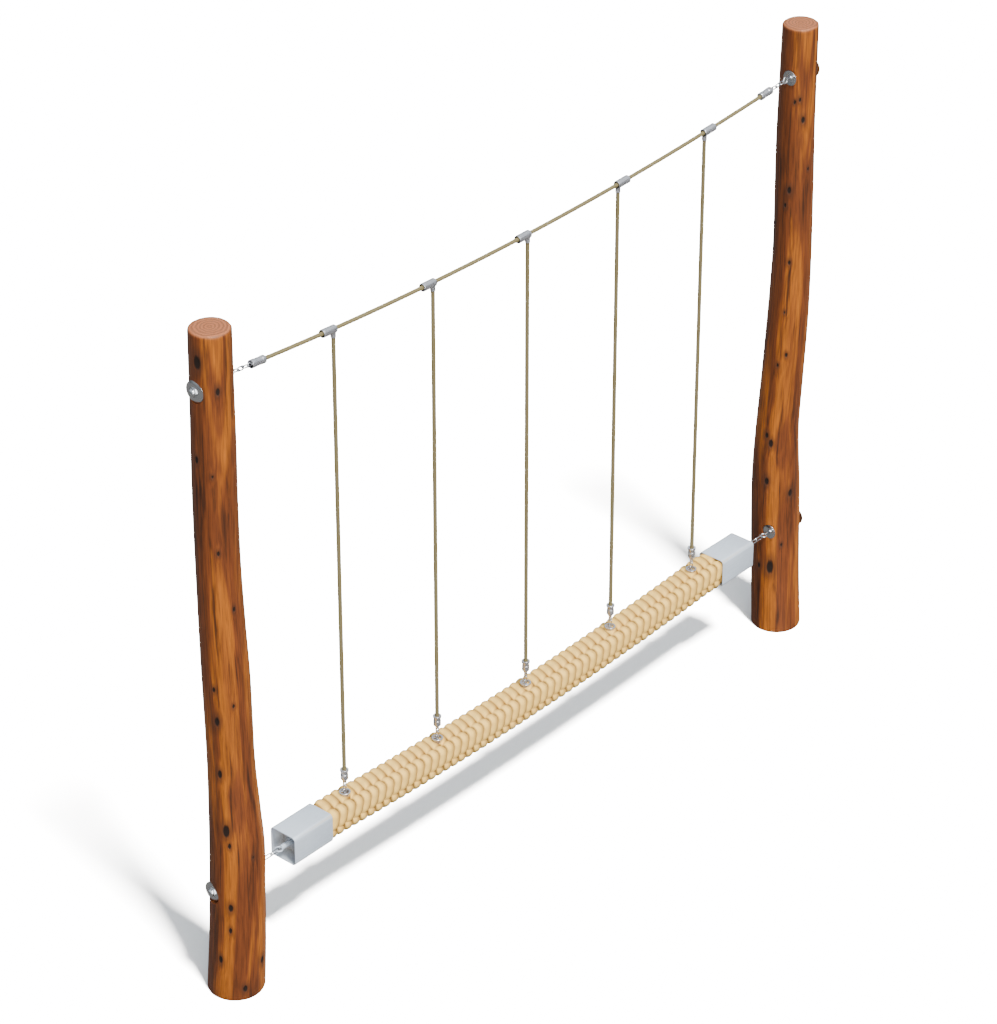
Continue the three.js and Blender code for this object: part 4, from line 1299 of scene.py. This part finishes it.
def socket_mesh(facets):
    """A cup whose rim's top is the origin, with a cross pin for the lower link."""
    cup = lathe("beam_sockets", rounded([
        (-SOCKET_HEIGHT, 0, 0),
        (-SOCKET_HEIGHT, SOCKET_R, 2 * MM),
        (-6 * MM, SOCKET_R, 1 * MM),
        (-5 * MM, SOCKET_RIM_R, 1 * MM),
        (0, SOCKET_RIM_R, 1.6 * MM),
        (0, SOCKET_INNER_R, 1.2 * MM),
        (-SOCKET_DEPTH, SOCKET_INNER_R, 1 * MM),
        (-SOCKET_DEPTH, 0, 0),
    ]), facets)
    cup.transform(Matrix.Rotation(-math.pi / 2, 4, "Y"))
    reach = SOCKET_R - MM
    pin = lathe("pin", rounded([
        (-reach, 0, 0),
        (-reach, SOCKET_PIN_R, 0.4 * MM),
        (reach, SOCKET_PIN_R, 0.4 * MM),
        (reach, 0, 0),
    ]), facets)
    pin.transform(Matrix.Rotation(math.pi / 2, 4, "Z"))
    pin.transform(Matrix.Translation((0, 0, -SOCKET_PIN_DROP)))

    def in_cup(point):
        below_pin = point.z < -SOCKET_PIN_DROP - SOCKET_PIN_R
        return below_pin and math.hypot(point.x, point.y) < SOCKET_INNER_R + 0.2 * MM

    # The cup below the pin gets the near-black lining: painted shade.
    return mark_inside(boolean(cup, pin, "UNION"), in_cup)


# Links: inner length, inner width and wire radius.
LINKS = {
    "upper_chain": (24.2 * MM, 9 * MM, 2.6 * MM),
    "lower_chain": (38 * MM, 10 * MM, 2.5 * MM),
    "hanger": (20 * MM, 8.5 * MM, 2.25 * MM),
}


def links_mesh(name, kind, places):
    """Chain links of one kind at places, as one mesh."""
    inner_length, inner_width, wire_r = LINKS[kind]
    tree = bpy.data.node_groups.get("Chain links") or links_tree()
    return evaluate(name, point_mesh(places), tree, {
        "Bend radius": inner_width / 2 + wire_r,
        "Straight side": inner_length - inner_width,
        "Wire radius": wire_r,
        "Finish": finish_of("bright_steel"),
    })


def link_turn(direction, quarter_turns):
    """A link that points in a direction, rolled about its length by quarter turns."""
    heading = X_AXIS.rotation_difference(direction)
    roll = Quaternion(X_AXIS, quarter_turns * math.pi / 2)
    return (heading @ roll).to_euler()


# ------------------------------------------------------------------ plaited beam and sleeves

STRAND_STEPS = 18
STRAND_SIDES = 16
STRAND_START = math.radians(76)
STRAND_FINISH = math.radians(-40)
START_DIVE, START_SHARE = 12 * MM, 0.24
FINISH_DIVE, FINISH_SHARE = 13 * MM, 0.3
BOW_POWER = 0.8  # below 1 the strand bows most in the first half of its way
STRAND_OUT = 2.5 * MM
NARROWEST = 0.4
THINNEST = 0.55
WIDTH_POWER = 0.85
THICKNESS_POWER = 0.9
FIBRE_SHIFT = 0.31  # sets the fibres of the four strands of a level apart
SQUARENESS = 9.0
CORE_INSET = 13 * MM
CORE_STEPS = 60
CORE_SIDES = 24
NECK_GAP = 1.5 * MM
PARTING_R = 60 * MM
PARTING_GAP = 0.6 * MM
PARTING_BELOW = 4 * MM
LOW_START = 8 * MM
LOW_FADE = 20 * MM
NECK_LENGTH = 26 * MM
SLEEVE_WALL = 4 * MM
SLEEVE_CORNER = 16 * MM
SLEEVE_LENGTH = 198 * MM
SLEEVE_RECESS = 60 * MM
SLEEVE_PLATE = 6 * MM
PIN_R = 10 * MM
PIN_EYE_OUT = 22 * MM
PIN_EYE_R = 14 * MM
PIN_WIRE_R = 3 * MM


def squarish(angle, half):
    """How far a rounded square reaches at an angle."""
    reach = abs(math.cos(angle)) ** SQUARENESS + abs(math.sin(angle)) ** SQUARENESS
    return half * reach ** (-1 / SQUARENESS)


def ramp(value):
    """A smooth step from 0 to 1, held outside."""
    held = min(max(value, 0.0), 1.0)
    return held * held * (3 - 2 * held)


def strand_centre(share, half, settings):
    """The middle of a strand: it rises out of a valley, rounds a corner and dives under the next."""
    angle = STRAND_START + (STRAND_FINISH - STRAND_START) * share
    dive = (START_DIVE * (1 - ramp(share / START_SHARE))
            + FINISH_DIVE * (1 - ramp((1 - share) / FINISH_SHARE)))
    reach = squarish(angle, half) - dive
    along = settings.bulge * math.sin(math.pi * share**BOW_POWER) - settings.drift * share
    return Vector((along, reach * math.cos(angle), reach * math.sin(angle)))


def level_mesh(settings):
    """One level of the plait: a strand across each of the four faces, each a quarter pitch on."""
    half_width, half_thick = settings.strand_width / 2, settings.strand_thickness / 2
    half = BEAM_HALF - half_thick + STRAND_OUT
    points, faces, across_values, along_values = [], [], [], []
    for face in range(4):
        spin = Matrix.Rotation(face * math.pi / 2, 3, "X")
        shift = Vector(((1.5 - face) * settings.pitch / 4, 0, 0))
        first = len(points)
        travelled, before = 0.0, None
        for step in range(STRAND_STEPS + 1):
            share = step / STRAND_STEPS
            centre = strand_centre(share, half, settings)
            nearby = min(max(share, 0.01), 0.99)
            tangent = (strand_centre(nearby + 0.01, half, settings)
                       - strand_centre(nearby - 0.01, half, settings)).normalized()
            outwards = Vector((0, centre.y, centre.z)).normalized()
            sideways = outwards.cross(tangent).normalized()
            if sideways.x < 0:
                sideways = -sideways
            lift = tangent.cross(sideways).normalized()
            if lift.dot(outwards) < 0:
                lift = -lift
            lean = settings.tilt
            wide = sideways * math.cos(lean) + lift * math.sin(lean)
            high = lift * math.cos(lean) - sideways * math.sin(lean)
            fullness = min(ramp(share / 0.32), ramp((1 - share) / 0.36))
            taper = NARROWEST + (1 - NARROWEST) * fullness
            thick = half_thick * (THINNEST + (1 - THINNEST) * taper)
            if before is not None:
                travelled += (centre - before).length
            before = centre
            for side in range(STRAND_SIDES):
                around = FULL_TURN * side / STRAND_SIDES
                flat, tall = math.cos(around), math.sin(around)
                width = half_width * taper * math.copysign(abs(flat) ** WIDTH_POWER, flat)
                height = thick * math.copysign(abs(tall) ** THICKNESS_POWER, tall)
                place = centre + wide * width + high * height
                place = Vector((place.x, -place.y, place.z))
                points.append(spin @ (place + shift))
                across_values.append(0.5 + 0.5 * flat * (0.98 if tall >= 0 else 1.0))
                along_values.append(travelled + FIBRE_SHIFT * face)
        for step in range(STRAND_STEPS):
            for side in range(STRAND_SIDES):
                beside = (side + 1) % STRAND_SIDES
                here = first + step * STRAND_SIDES
                there = here + STRAND_SIDES
                faces.append((here + side, here + beside, there + beside, there + side))
        last = first + STRAND_STEPS * STRAND_SIDES
        faces.append(tuple(first + side for side in range(STRAND_SIDES)))
        faces.append(tuple(last + side for side in range(STRAND_SIDES)))
    mesh = bpy.data.meshes.new("level")
    mesh.from_pydata(points, [], faces)
    for name, values in (("across", across_values), ("along", along_values)):
        mesh.attributes.new(name, "FLOAT", "POINT").data.foreach_set("value", values)
    shape = bmesh.new()
    shape.from_mesh(mesh)
    bmesh.ops.recalc_face_normals(shape, faces=shape.faces)
    shape.to_mesh(mesh)
    shape.free()
    return mesh


def shape_plait(mesh):
    """Necks the plait down before the sleeves, parts it round the sockets, marks its underside for
    painted shade.
    """
    points = np.zeros(len(mesh.vertices) * 3)
    mesh.vertices.foreach_get("co", points)
    points = points.reshape(-1, 3)
    away = np.abs(points[:, 0])
    neck = np.clip((away - SLEEVE_MOUTH_X + NECK_LENGTH) / NECK_LENGTH, 0, 1)
    neck = neck * neck * (3 - 2 * neck)
    inside = (SLEEVE_HALF - SLEEVE_WALL - NECK_GAP) / BEAM_HALF
    factor = 1 - (1 - inside) * neck
    points[:, 1] *= factor
    height = points[:, 2] - SLEEVE_Z
    points[:, 2] = SLEEVE_Z + height * factor * neck + height * (1 - neck)
    for number in HAND_ROPES:
        x = middle(f"beam_socket_{number}").x
        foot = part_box(f"beam_socket_{number}")[0].z
        off = points[:, :2] - np.array([x, 0.0])
        reach = np.hypot(off[:, 0], off[:, 1])
        near = (reach < PARTING_R) & (points[:, 2] > foot - PARTING_BELOW)
        wider = (reach**3 + (SOCKET_R + PARTING_GAP) ** 3) ** (1 / 3)
        points[near, :2] += (off * (wider / np.maximum(reach, TINY) - 1)[:, None])[near]
    mesh.vertices.foreach_set("co", points.ravel())
    # How near each point is to the beam's underside, where the braid material paints shade.
    sag = np.array([beam_rise(float(x)) for x in points[:, 0]])
    above = points[:, 2] - sag - (BEAM_Z - BEAM_HALF)
    low = np.clip(1 - (above - LOW_START) / LOW_FADE, 0, 1)
    mesh.attributes.new("low", "FLOAT", "POINT").data.foreach_set("value", low)
    mesh.update()


def core_mesh():
    """The rope core that the plait is laid round, seen only where strands part."""
    half, sides = BEAM_HALF - CORE_INSET, CORE_SIDES

    def make(shape):
        rings = []
        for place in np.linspace(-BEAM_END_X, BEAM_END_X, CORE_STEPS):
            height = BEAM_Z + beam_rise(place)
            ring = []
            for side in range(sides):
                angle = FULL_TURN * (side + 0.5) / sides
                reach = squarish(angle, half)
                ring.append(shape.verts.new((place, reach * math.cos(angle),
                                             height + reach * math.sin(angle))))
            rings.append(ring)
        for near, far in zip(rings, rings[1:]):
            for side in range(sides):
                beside = (side + 1) % sides
                shape.faces.new((near[side], near[beside], far[beside], far[side]))
        shape.faces.new(rings[0])
        shape.faces.new(rings[-1])

    mesh = mesh_from("core", make)
    count = len(mesh.vertices)
    # An across of 1 gives the core the braid material's full painted groove and flank shade, so it
    # shows dark where strands part.
    mesh.attributes.new("across", "FLOAT", "POINT").data.foreach_set("value", [1.0] * count)
    along = [vertex.co.x for vertex in mesh.vertices]
    mesh.attributes.new("along", "FLOAT", "POINT").data.foreach_set("value", along)
    return mesh


def beam_rise(along):
    """The beam follows the sag as far as its last hand rope and levels out before the sleeve."""
    level = SLEEVE_MOUTH_X - LAST_ROPE_X
    away = abs(along)
    past = min(max(away - LAST_ROPE_X, 0), level)
    slope = 2 * SAG_RATE * LAST_ROPE_X
    return rise(min(away, LAST_ROPE_X)) + slope * (past - past * past / (2 * level))


def joined(name, *meshes):
    """Several meshes as one, with their attributes."""
    holders = []
    for mesh in meshes:
        holder = bpy.data.objects.new(name, mesh)
        bpy.context.scene.collection.objects.link(holder)
        holders.append(holder)
    with bpy.context.temp_override(active_object=holders[0], object=holders[0],
                                   selected_objects=holders, selected_editable_objects=holders):
        bpy.ops.object.join()
    mesh = holders[0].data
    bpy.data.objects.remove(holders[0])
    mesh.name = name
    return mesh


def rounded_square(half, corner, steps=8):
    """Points round a square with round corners, in Y and Z."""
    points = []
    for quarter in range(4):
        angle = quarter * math.pi / 2
        turn = Matrix.Rotation(angle, 2)
        centre = turn @ Vector((half - corner, half - corner))
        for step in range(steps + 1):
            part = angle + math.pi / 2 * step / steps
            points.append(centre + corner * Vector((math.cos(part), math.sin(part))))
    return points


def sleeve_mesh(facets):
    """Along +X, with the open end's face at the origin: tube, recessed plate, pin and eye."""
    soft = 0.9 * MM
    inner = SLEEVE_HALF - SLEEVE_WALL
    loop = [
        (0, SLEEVE_HALF - soft),
        (-0.3 * soft, SLEEVE_HALF - 0.3 * soft),
        (-soft, SLEEVE_HALF),
        (-SLEEVE_LENGTH + soft, SLEEVE_HALF),
        (-SLEEVE_LENGTH + 0.3 * soft, SLEEVE_HALF - 0.3 * soft),
        (-SLEEVE_LENGTH, SLEEVE_HALF - soft),
        (-SLEEVE_LENGTH, inner + soft),
        (-SLEEVE_LENGTH + soft, inner),
        (-soft, inner),
        (0, inner + soft),
    ]

    def tube(shape):
        rings = []
        for along, half in loop:
            corner = SLEEVE_CORNER - (SLEEVE_HALF - half)
            rings.append([shape.verts.new((along, *point)) for point in rounded_square(half, corner)])
        for near, far in zip(rings, [*rings[1:], rings[0]]):
            for side in range(len(near)):
                beside = (side + 1) % len(near)
                shape.faces.new((near[side], near[beside], far[beside], far[side]))

    def plate(shape):
        rings = []
        corner = SLEEVE_CORNER - SLEEVE_WALL / 2
        for along in (-SLEEVE_RECESS, -SLEEVE_RECESS - SLEEVE_PLATE):
            outline = rounded_square(inner + SLEEVE_WALL / 2, corner)
            rings.append([shape.verts.new((along, *point)) for point in outline])
        for side in range(len(rings[0])):
            beside = (side + 1) % len(rings[0])
            shape.faces.new((rings[0][side], rings[0][beside], rings[1][beside], rings[1][side]))
        shape.faces.new(rings[0])
        shape.faces.new(rings[1])

    whole = boolean(mesh_from("end_sleeves", tube), mesh_from("plate", plate), "UNION")
    start = -SLEEVE_RECESS - SLEEVE_PLATE / 2
    stop = PIN_EYE_OUT - PIN_EYE_R + PIN_WIRE_R / 2
    pin = lathe("pin", rounded([
        (start, 0, 0),
        (start, PIN_R, 0),
        (-SLEEVE_RECESS + 0.2 * MM, PIN_R + 3.5 * MM, 0),
        (-SLEEVE_RECESS + 4 * MM, PIN_R, 2 * MM),
        (stop, PIN_R, 2.5 * MM),
        (stop, 0, 0),
    ]), facets)
    eye = torus("eye", PIN_EYE_R, PIN_WIRE_R, Vector((0, 0, 1)))
    eye.transform(Matrix.Translation((PIN_EYE_OUT, 0, 0)))
    whole = boolean(boolean(whole, pin, "UNION"), eye, "UNION")

    def in_tube(point):
        aside = max(abs(point.y), abs(point.z))
        return point.x < -MM and PIN_R + 5 * MM < aside < SLEEVE_HALF - SLEEVE_WALL / 2

    # The inner walls and plate get the sleeves' pale lining: painted light.
    return mark_inside(whole, in_tube)


# ------------------------------------------------------------------ operators


SKY_LOW, SKY_HIGH = 0.3, 1.7  # the sky at the horizon and overhead, as shares of its strength
SKY_RISE = (0.05, 0.65)
SKY_COLOUR = (0.87, 0.94, 1.0, 1.0)
SUN_COLOUR = (1.0, 0.985, 0.96)
KEY_SOFTNESS = 8  # degrees across
FILL_SOFTNESS = 35
FLOOR_HALF = 60.0
FLOOR_SEEN = 0.95
FLOOR_GLOW = 0.013  # what the floor throws back on the beam


class BALANCE_OT_stage(bpy.types.Operator):
    """Sets up the camera, the lights and the floor"""
    bl_idname = "balance.stage"
    bl_label = "Stage"

    def execute(self, context):
        settings = context.scene.beam_stage
        azimuth, elevation = settings.azimuth, settings.elevation
        back = Vector((math.sin(azimuth) * math.cos(elevation),
                       -math.cos(azimuth) * math.cos(elevation), math.sin(elevation)))
        camera = bpy.data.objects.new("camera", bpy.data.cameras.new("camera"))
        camera.data.lens = settings.lens
        camera.data.clip_end = 200
        camera.location = Vector(settings.aim) + back * settings.distance
        camera.rotation_euler = (-back).to_track_quat("-Z", "Y").to_euler()
        context.scene.collection.objects.link(camera)
        context.scene.camera = camera

        def sun(name, strength, softness, turn, height):
            light = bpy.data.objects.new(name, bpy.data.lights.new(name, "SUN"))
            light.data.energy = strength
            light.data.angle = math.radians(softness)
            light.data.color = SUN_COLOUR
            source = Vector((math.sin(turn) * math.cos(height), -math.cos(turn) * math.cos(height),
                             math.sin(height)))
            light.rotation_euler = (-source).to_track_quat("-Z", "Y").to_euler()
            context.scene.collection.objects.link(light)
            return light

        key = (KEY_SOFTNESS, settings.key_azimuth, settings.key_elevation)
        sun("key", settings.key_strength, *key)
        sun("fill", settings.fill_strength, FILL_SOFTNESS, settings.fill_azimuth,
            settings.fill_elevation)

        world = bpy.data.worlds.new("studio")
        world.use_nodes = True
        sky = world.node_tree
        sky.nodes.clear()
        direction = add(sky, "ShaderNodeTexCoord").outputs["Generated"]
        height = add(sky, "ShaderNodeSeparateXYZ", {0: direction}).outputs["Z"]
        strength = between(sky, height, *SKY_RISE, SKY_LOW * settings.sky_strength,
                           SKY_HIGH * settings.sky_strength)
        light = add(sky, "ShaderNodeBackground", {"Color": SKY_COLOUR, "Strength": strength})
        end = sky.nodes.new("ShaderNodeOutputWorld")
        sky.links.new(light.outputs[0], end.inputs[0])
        context.scene.world = world

        material, tree, shader = new_material("pale_floor")
        ray = add(tree, "ShaderNodeLightPath").outputs["Is Camera Ray"]
        tone = between(tree, ray, 0.0, 1.0, FLOOR_GLOW, FLOOR_SEEN, False)
        white = add(tree, "ShaderNodeCombineColor", {0: tone, 1: tone, 2: tone})
        tree.links.new(white.outputs[0], shader.inputs["Base Color"])
        shader.inputs["Roughness"].default_value = 1.0
        shader.inputs["Specular IOR Level"].default_value = 0.0
        half = FLOOR_HALF

        def make(shape):
            corners = [(-half, -half, 0), (half, -half, 0), (half, half, 0), (-half, half, 0)]
            shape.faces.new([shape.verts.new(corner) for corner in corners])

        floor = bpy.data.objects.new("floor", mesh_from("floor", make))
        floor.data.materials.append(material)
        context.scene.collection.objects.link(floor)
        floor_only = bpy.data.collections.new("floor_only")
        floor_only.objects.link(floor)
        sun("floor_key", settings.floor_strength, *key).light_linking.receiver_collection = floor_only
        return {"FINISHED"}


class BALANCE_OT_ropes(bpy.types.Operator):
    """Lays the top rope and the five hand ropes"""
    bl_idname = "balance.ropes"
    bl_label = "Ropes"

    def execute(self, context):
        settings = context.scene.beam_rope
        reaches = np.linspace(-TOP_ROPE_REACH, TOP_ROPE_REACH, TOP_ROPE_POINTS)
        routes = {"top_rope": [(float(x), 0.0, TOP_ROPE_Z + rise(float(x))) for x in reaches]}
        for number in HAND_ROPES:
            node = f"hand_rope_{number}"
            low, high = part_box(node)
            x = middle(node).x
            heights = np.linspace(high.z, low.z, HAND_ROPE_POINTS)
            routes[node] = [(x, 0.0, float(height)) for height in heights]
        for node, route in routes.items():
            piece = show(f"{node}_laid", rope_mesh(node, route, settings), "ropes", "rope", node)
        return {"FINISHED"}


class BALANCE_OT_posts(bpy.types.Operator):
    """Shapes the two debarked and oiled posts"""
    bl_idname = "balance.posts"
    bl_label = "Posts"

    def execute(self, context):
        for side in SIDES:
            mesh = post_mesh(side, context.scene.beam_timber)
            show(f"{side}_post_trunk", mesh, "frame", "timber", f"post_{side}")
        return {"FINISHED"}


class BALANCE_OT_bolts(bpy.types.Operator):
    """Fits the eye bolts through the posts, and their cap nuts"""
    bl_idname = "balance.bolts"
    bl_label = "Eye bolts and cap nuts"

    def execute(self, context):
        facets = context.scene.beam_steel.facets
        nut_places, nut_nodes = [], []
        for side, sign in SIDES.items():
            for level in ("upper", "lower"):
                bolt = bolt_place(side, level)
                stand_off = abs(bolt["eye"] - bolt["inner"])
                shank = abs(bolt["outer"] - bolt["inner"]) + NUT_DEPTH - NUT_TO_SEAT
                axis = Vector((0, 1, 0)) if level == "upper" else Vector((0, 0, 1))
                mesh = eye_bolt_mesh(f"eye_bolt_{side}_{level}", stand_off, shank, axis, facets)
                facing = Matrix.Rotation(0 if sign < 0 else math.pi, 4, "Z")
                mesh.transform(Matrix.Translation((bolt["inner"], 0, bolt["height"])) @ facing)
                show(f"{side}_{level}_eye_bolt", smooth(mesh), "frame", "bright_steel",
                     f"eye_bolt_{side}_{level}")
                nut_turn = (0, 0, math.pi if sign < 0 else 0)
                nut_places.append(((bolt["outer"], 0, bolt["height"]), nut_turn))
                nut_nodes.append(f"cap_nut_{side}_{level}")
        unit = smooth(cap_nut_mesh(facets), 28)
        mesh = copies("cap_nuts", unit, nut_places, finish_of("bright_steel"))
        show("cap_nuts", mesh, "frame", "bright_steel", *nut_nodes)
        return {"FINISHED"}


class BALANCE_OT_ferrules(bpy.types.Operator):
    """Presses the ferrules on the ropes"""
    bl_idname = "balance.ferrules"
    bl_label = "Ferrules"

    def execute(self, context):
        facets = context.scene.beam_steel.facets
        finish = finish_of("ferrule")
        places, nodes = [], []
        for side, sign in SIDES.items():
            node = f"end_ferrule_{side}"
            slope = math.atan(2 * SAG_RATE * abs(middle(node).x))
            turn = Euler((0, -slope if sign > 0 else slope - math.pi, 0))
            places.append((middle(node), turn))
            nodes.append(node)
        mesh = copies("end_ferrules", smooth(end_ferrule_mesh(facets)), places, finish)
        show("end_ferrules", mesh, "ropes", "ferrule", *nodes)

        for number in HAND_ROPES:
            x = middle(f"hand_rope_{number}").x
            node = f"tee_ferrule_{number}"
            aside = math.copysign(TEE_ASIDE, x + TINY - middle(node).x)
            mesh = tee_ferrule_mesh(math.atan(2 * SAG_RATE * x), aside, facets)
            mesh.transform(Matrix.Translation((x, 0, TOP_ROPE_Z + rise(x))))
            show(f"tee_ferrule_{number}_pressed", smooth(mesh), "ropes", "ferrule", node)

        names = [f"rope_end_ferrule_{number}" for number in HAND_ROPES]
        places = [((middle(node).x, 0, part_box(node)[0].z + LUG_DROP), (0, 0, 0)) for node in names]
        mesh = copies("rope_end_ferrules", smooth(lower_ferrule_mesh(facets)), places, finish)
        show("rope_end_ferrules", mesh, "ropes", "ferrule", *names)

        names = [f"beam_socket_{number}" for number in HAND_ROPES]
        places = [((middle(node).x, 0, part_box(node)[1].z), (0, 0, 0)) for node in names]
        mesh = copies("beam_sockets", smooth(socket_mesh(facets)), places, finish)
        show("beam_sockets", mesh, "beam", "ferrule", *names)
        return {"FINISHED"}


class BALANCE_OT_chains(bpy.types.Operator):
    """Links the chains at the posts and under the hand ropes"""
    bl_idname = "balance.chains"
    bl_label = "Chains"

    def execute(self, context):
        places, nodes = [], []
        for side, sign in SIDES.items():
            ends = [middle(f"upper_chain_link_{side}_{number}") for number in (1, 4)]
            direction = (ends[1] - ends[0]).normalized() * -sign
            for number in (1, 2, 3, 4):
                node = f"upper_chain_link_{side}_{number}"
                places.append((middle(node), link_turn(direction, number - 1)))
                nodes.append(node)
        mesh = links_mesh("upper_chains", "upper_chain", places)
        show("upper_chains", mesh, "ropes", "bright_steel", *nodes)

        for side in SIDES:
            nodes = [f"lower_chain_link_{side}_{number}" for number in (1, 2, 3)]
            places = [(middle(node), link_turn(X_AXIS, number))
                      for number, node in enumerate(nodes, 1)]
            mesh = links_mesh(f"{side}_lower_chain", "lower_chain", places)
            show(f"{side}_lower_chain", mesh, f"end_chain_{side}", "bright_steel", *nodes)

        for row, (part, body) in enumerate((("upper", "ropes"), ("lower", "beam"))):
            nodes = [f"hanger_link_{part}_{number}" for number in HAND_ROPES]
            turn = link_turn(Vector((0, 0, 1)), row)
            places = [(middle(node), turn) for node in nodes]
            mesh = links_mesh(f"{part}_hanger_links", "hanger", places)
            show(f"{part}_hanger_links", mesh, body, "bright_steel", *nodes)
        return {"FINISHED"}


class BALANCE_OT_beam(bpy.types.Operator):
    """Plaits the beam and closes its ends with steel sleeves"""
    bl_idname = "balance.beam"
    bl_label = "Plaited beam and sleeves"

    def execute(self, context):
        settings = context.scene.beam_plait
        levels = 2 * round((SLEEVE_MOUTH_X + settings.pitch) / settings.pitch)
        mesh = evaluate("plait", level_mesh(settings), plait_tree(), {
            "Levels": levels,
            "Pitch": settings.pitch,
            "Middle height": BEAM_Z,
            "Sag rate": SAG_RATE,
            "Sag reach": LAST_ROPE_X,
            "Level-off length": SLEEVE_MOUTH_X - LAST_ROPE_X,
            "Looseness": 0.012,
            "Finish": finish_of("braid"),
        })
        shape_plait(mesh)
        core = core_mesh()
        core.shade_smooth()
        whole = joined("braided_rope_beam", mesh, core)
        show("braided_rope_beam", whole, "beam", "braid", "braided_beam")

        unit = smooth(sleeve_mesh(context.scene.beam_steel.facets), 25)
        outer = SLEEVE_MOUTH_X + SLEEVE_LENGTH
        places = [((sign * outer, 0, SLEEVE_Z), (0, 0, 0 if sign > 0 else math.pi))
                  for sign in SIDES.values()]
        mesh = copies("end_sleeves", unit, places, finish_of("sleeve_steel"))
        show("end_sleeves", mesh, "beam", "sleeve_steel", "end_sleeve_left", "end_sleeve_right")
        return {"FINISHED"}


class BALANCE_PT_panel(bpy.types.Panel):
    """The steps of the rope balance beam, in order"""
    bl_label = "Rope balance beam"
    bl_idname = "BALANCE_PT_panel"
    bl_space_type = "VIEW_3D"
    bl_region_type = "UI"
    bl_category = "Balance beam"

    def draw(self, context):
        for operator in OPERATORS:
            self.layout.operator(operator.bl_idname)


SETTINGS = {
    "beam_timber": TimberSettings,
    "beam_rope": RopeSettings,
    "beam_plait": PlaitSettings,
    "beam_steel": SteelSettings,
    "beam_stage": StageSettings,
}
OPERATORS = (
    BALANCE_OT_stage, BALANCE_OT_ropes, BALANCE_OT_posts, BALANCE_OT_bolts,
    BALANCE_OT_ferrules, BALANCE_OT_chains, BALANCE_OT_beam,
)


def register():
    for kind in (*SETTINGS.values(), *OPERATORS, BALANCE_PT_panel):
        bpy.utils.register_class(kind)
    for name, kind in SETTINGS.items():
        setattr(bpy.types.Scene, name, bpy.props.PointerProperty(type=kind))


def unregister():
    for name in SETTINGS:
        delattr(bpy.types.Scene, name)
    for kind in (BALANCE_PT_panel, *reversed(OPERATORS), *reversed(SETTINGS.values())):
        bpy.utils.unregister_class(kind)


def main():
    register()
    make_materials(bpy.context.scene)
    bpy.ops.balance.stage()
    bpy.ops.balance.ropes()
    bpy.ops.balance.posts()
    bpy.ops.balance.bolts()
    bpy.ops.balance.ferrules()
    bpy.ops.balance.chains()
    bpy.ops.balance.beam()


if __name__ == "__main__":
    main()
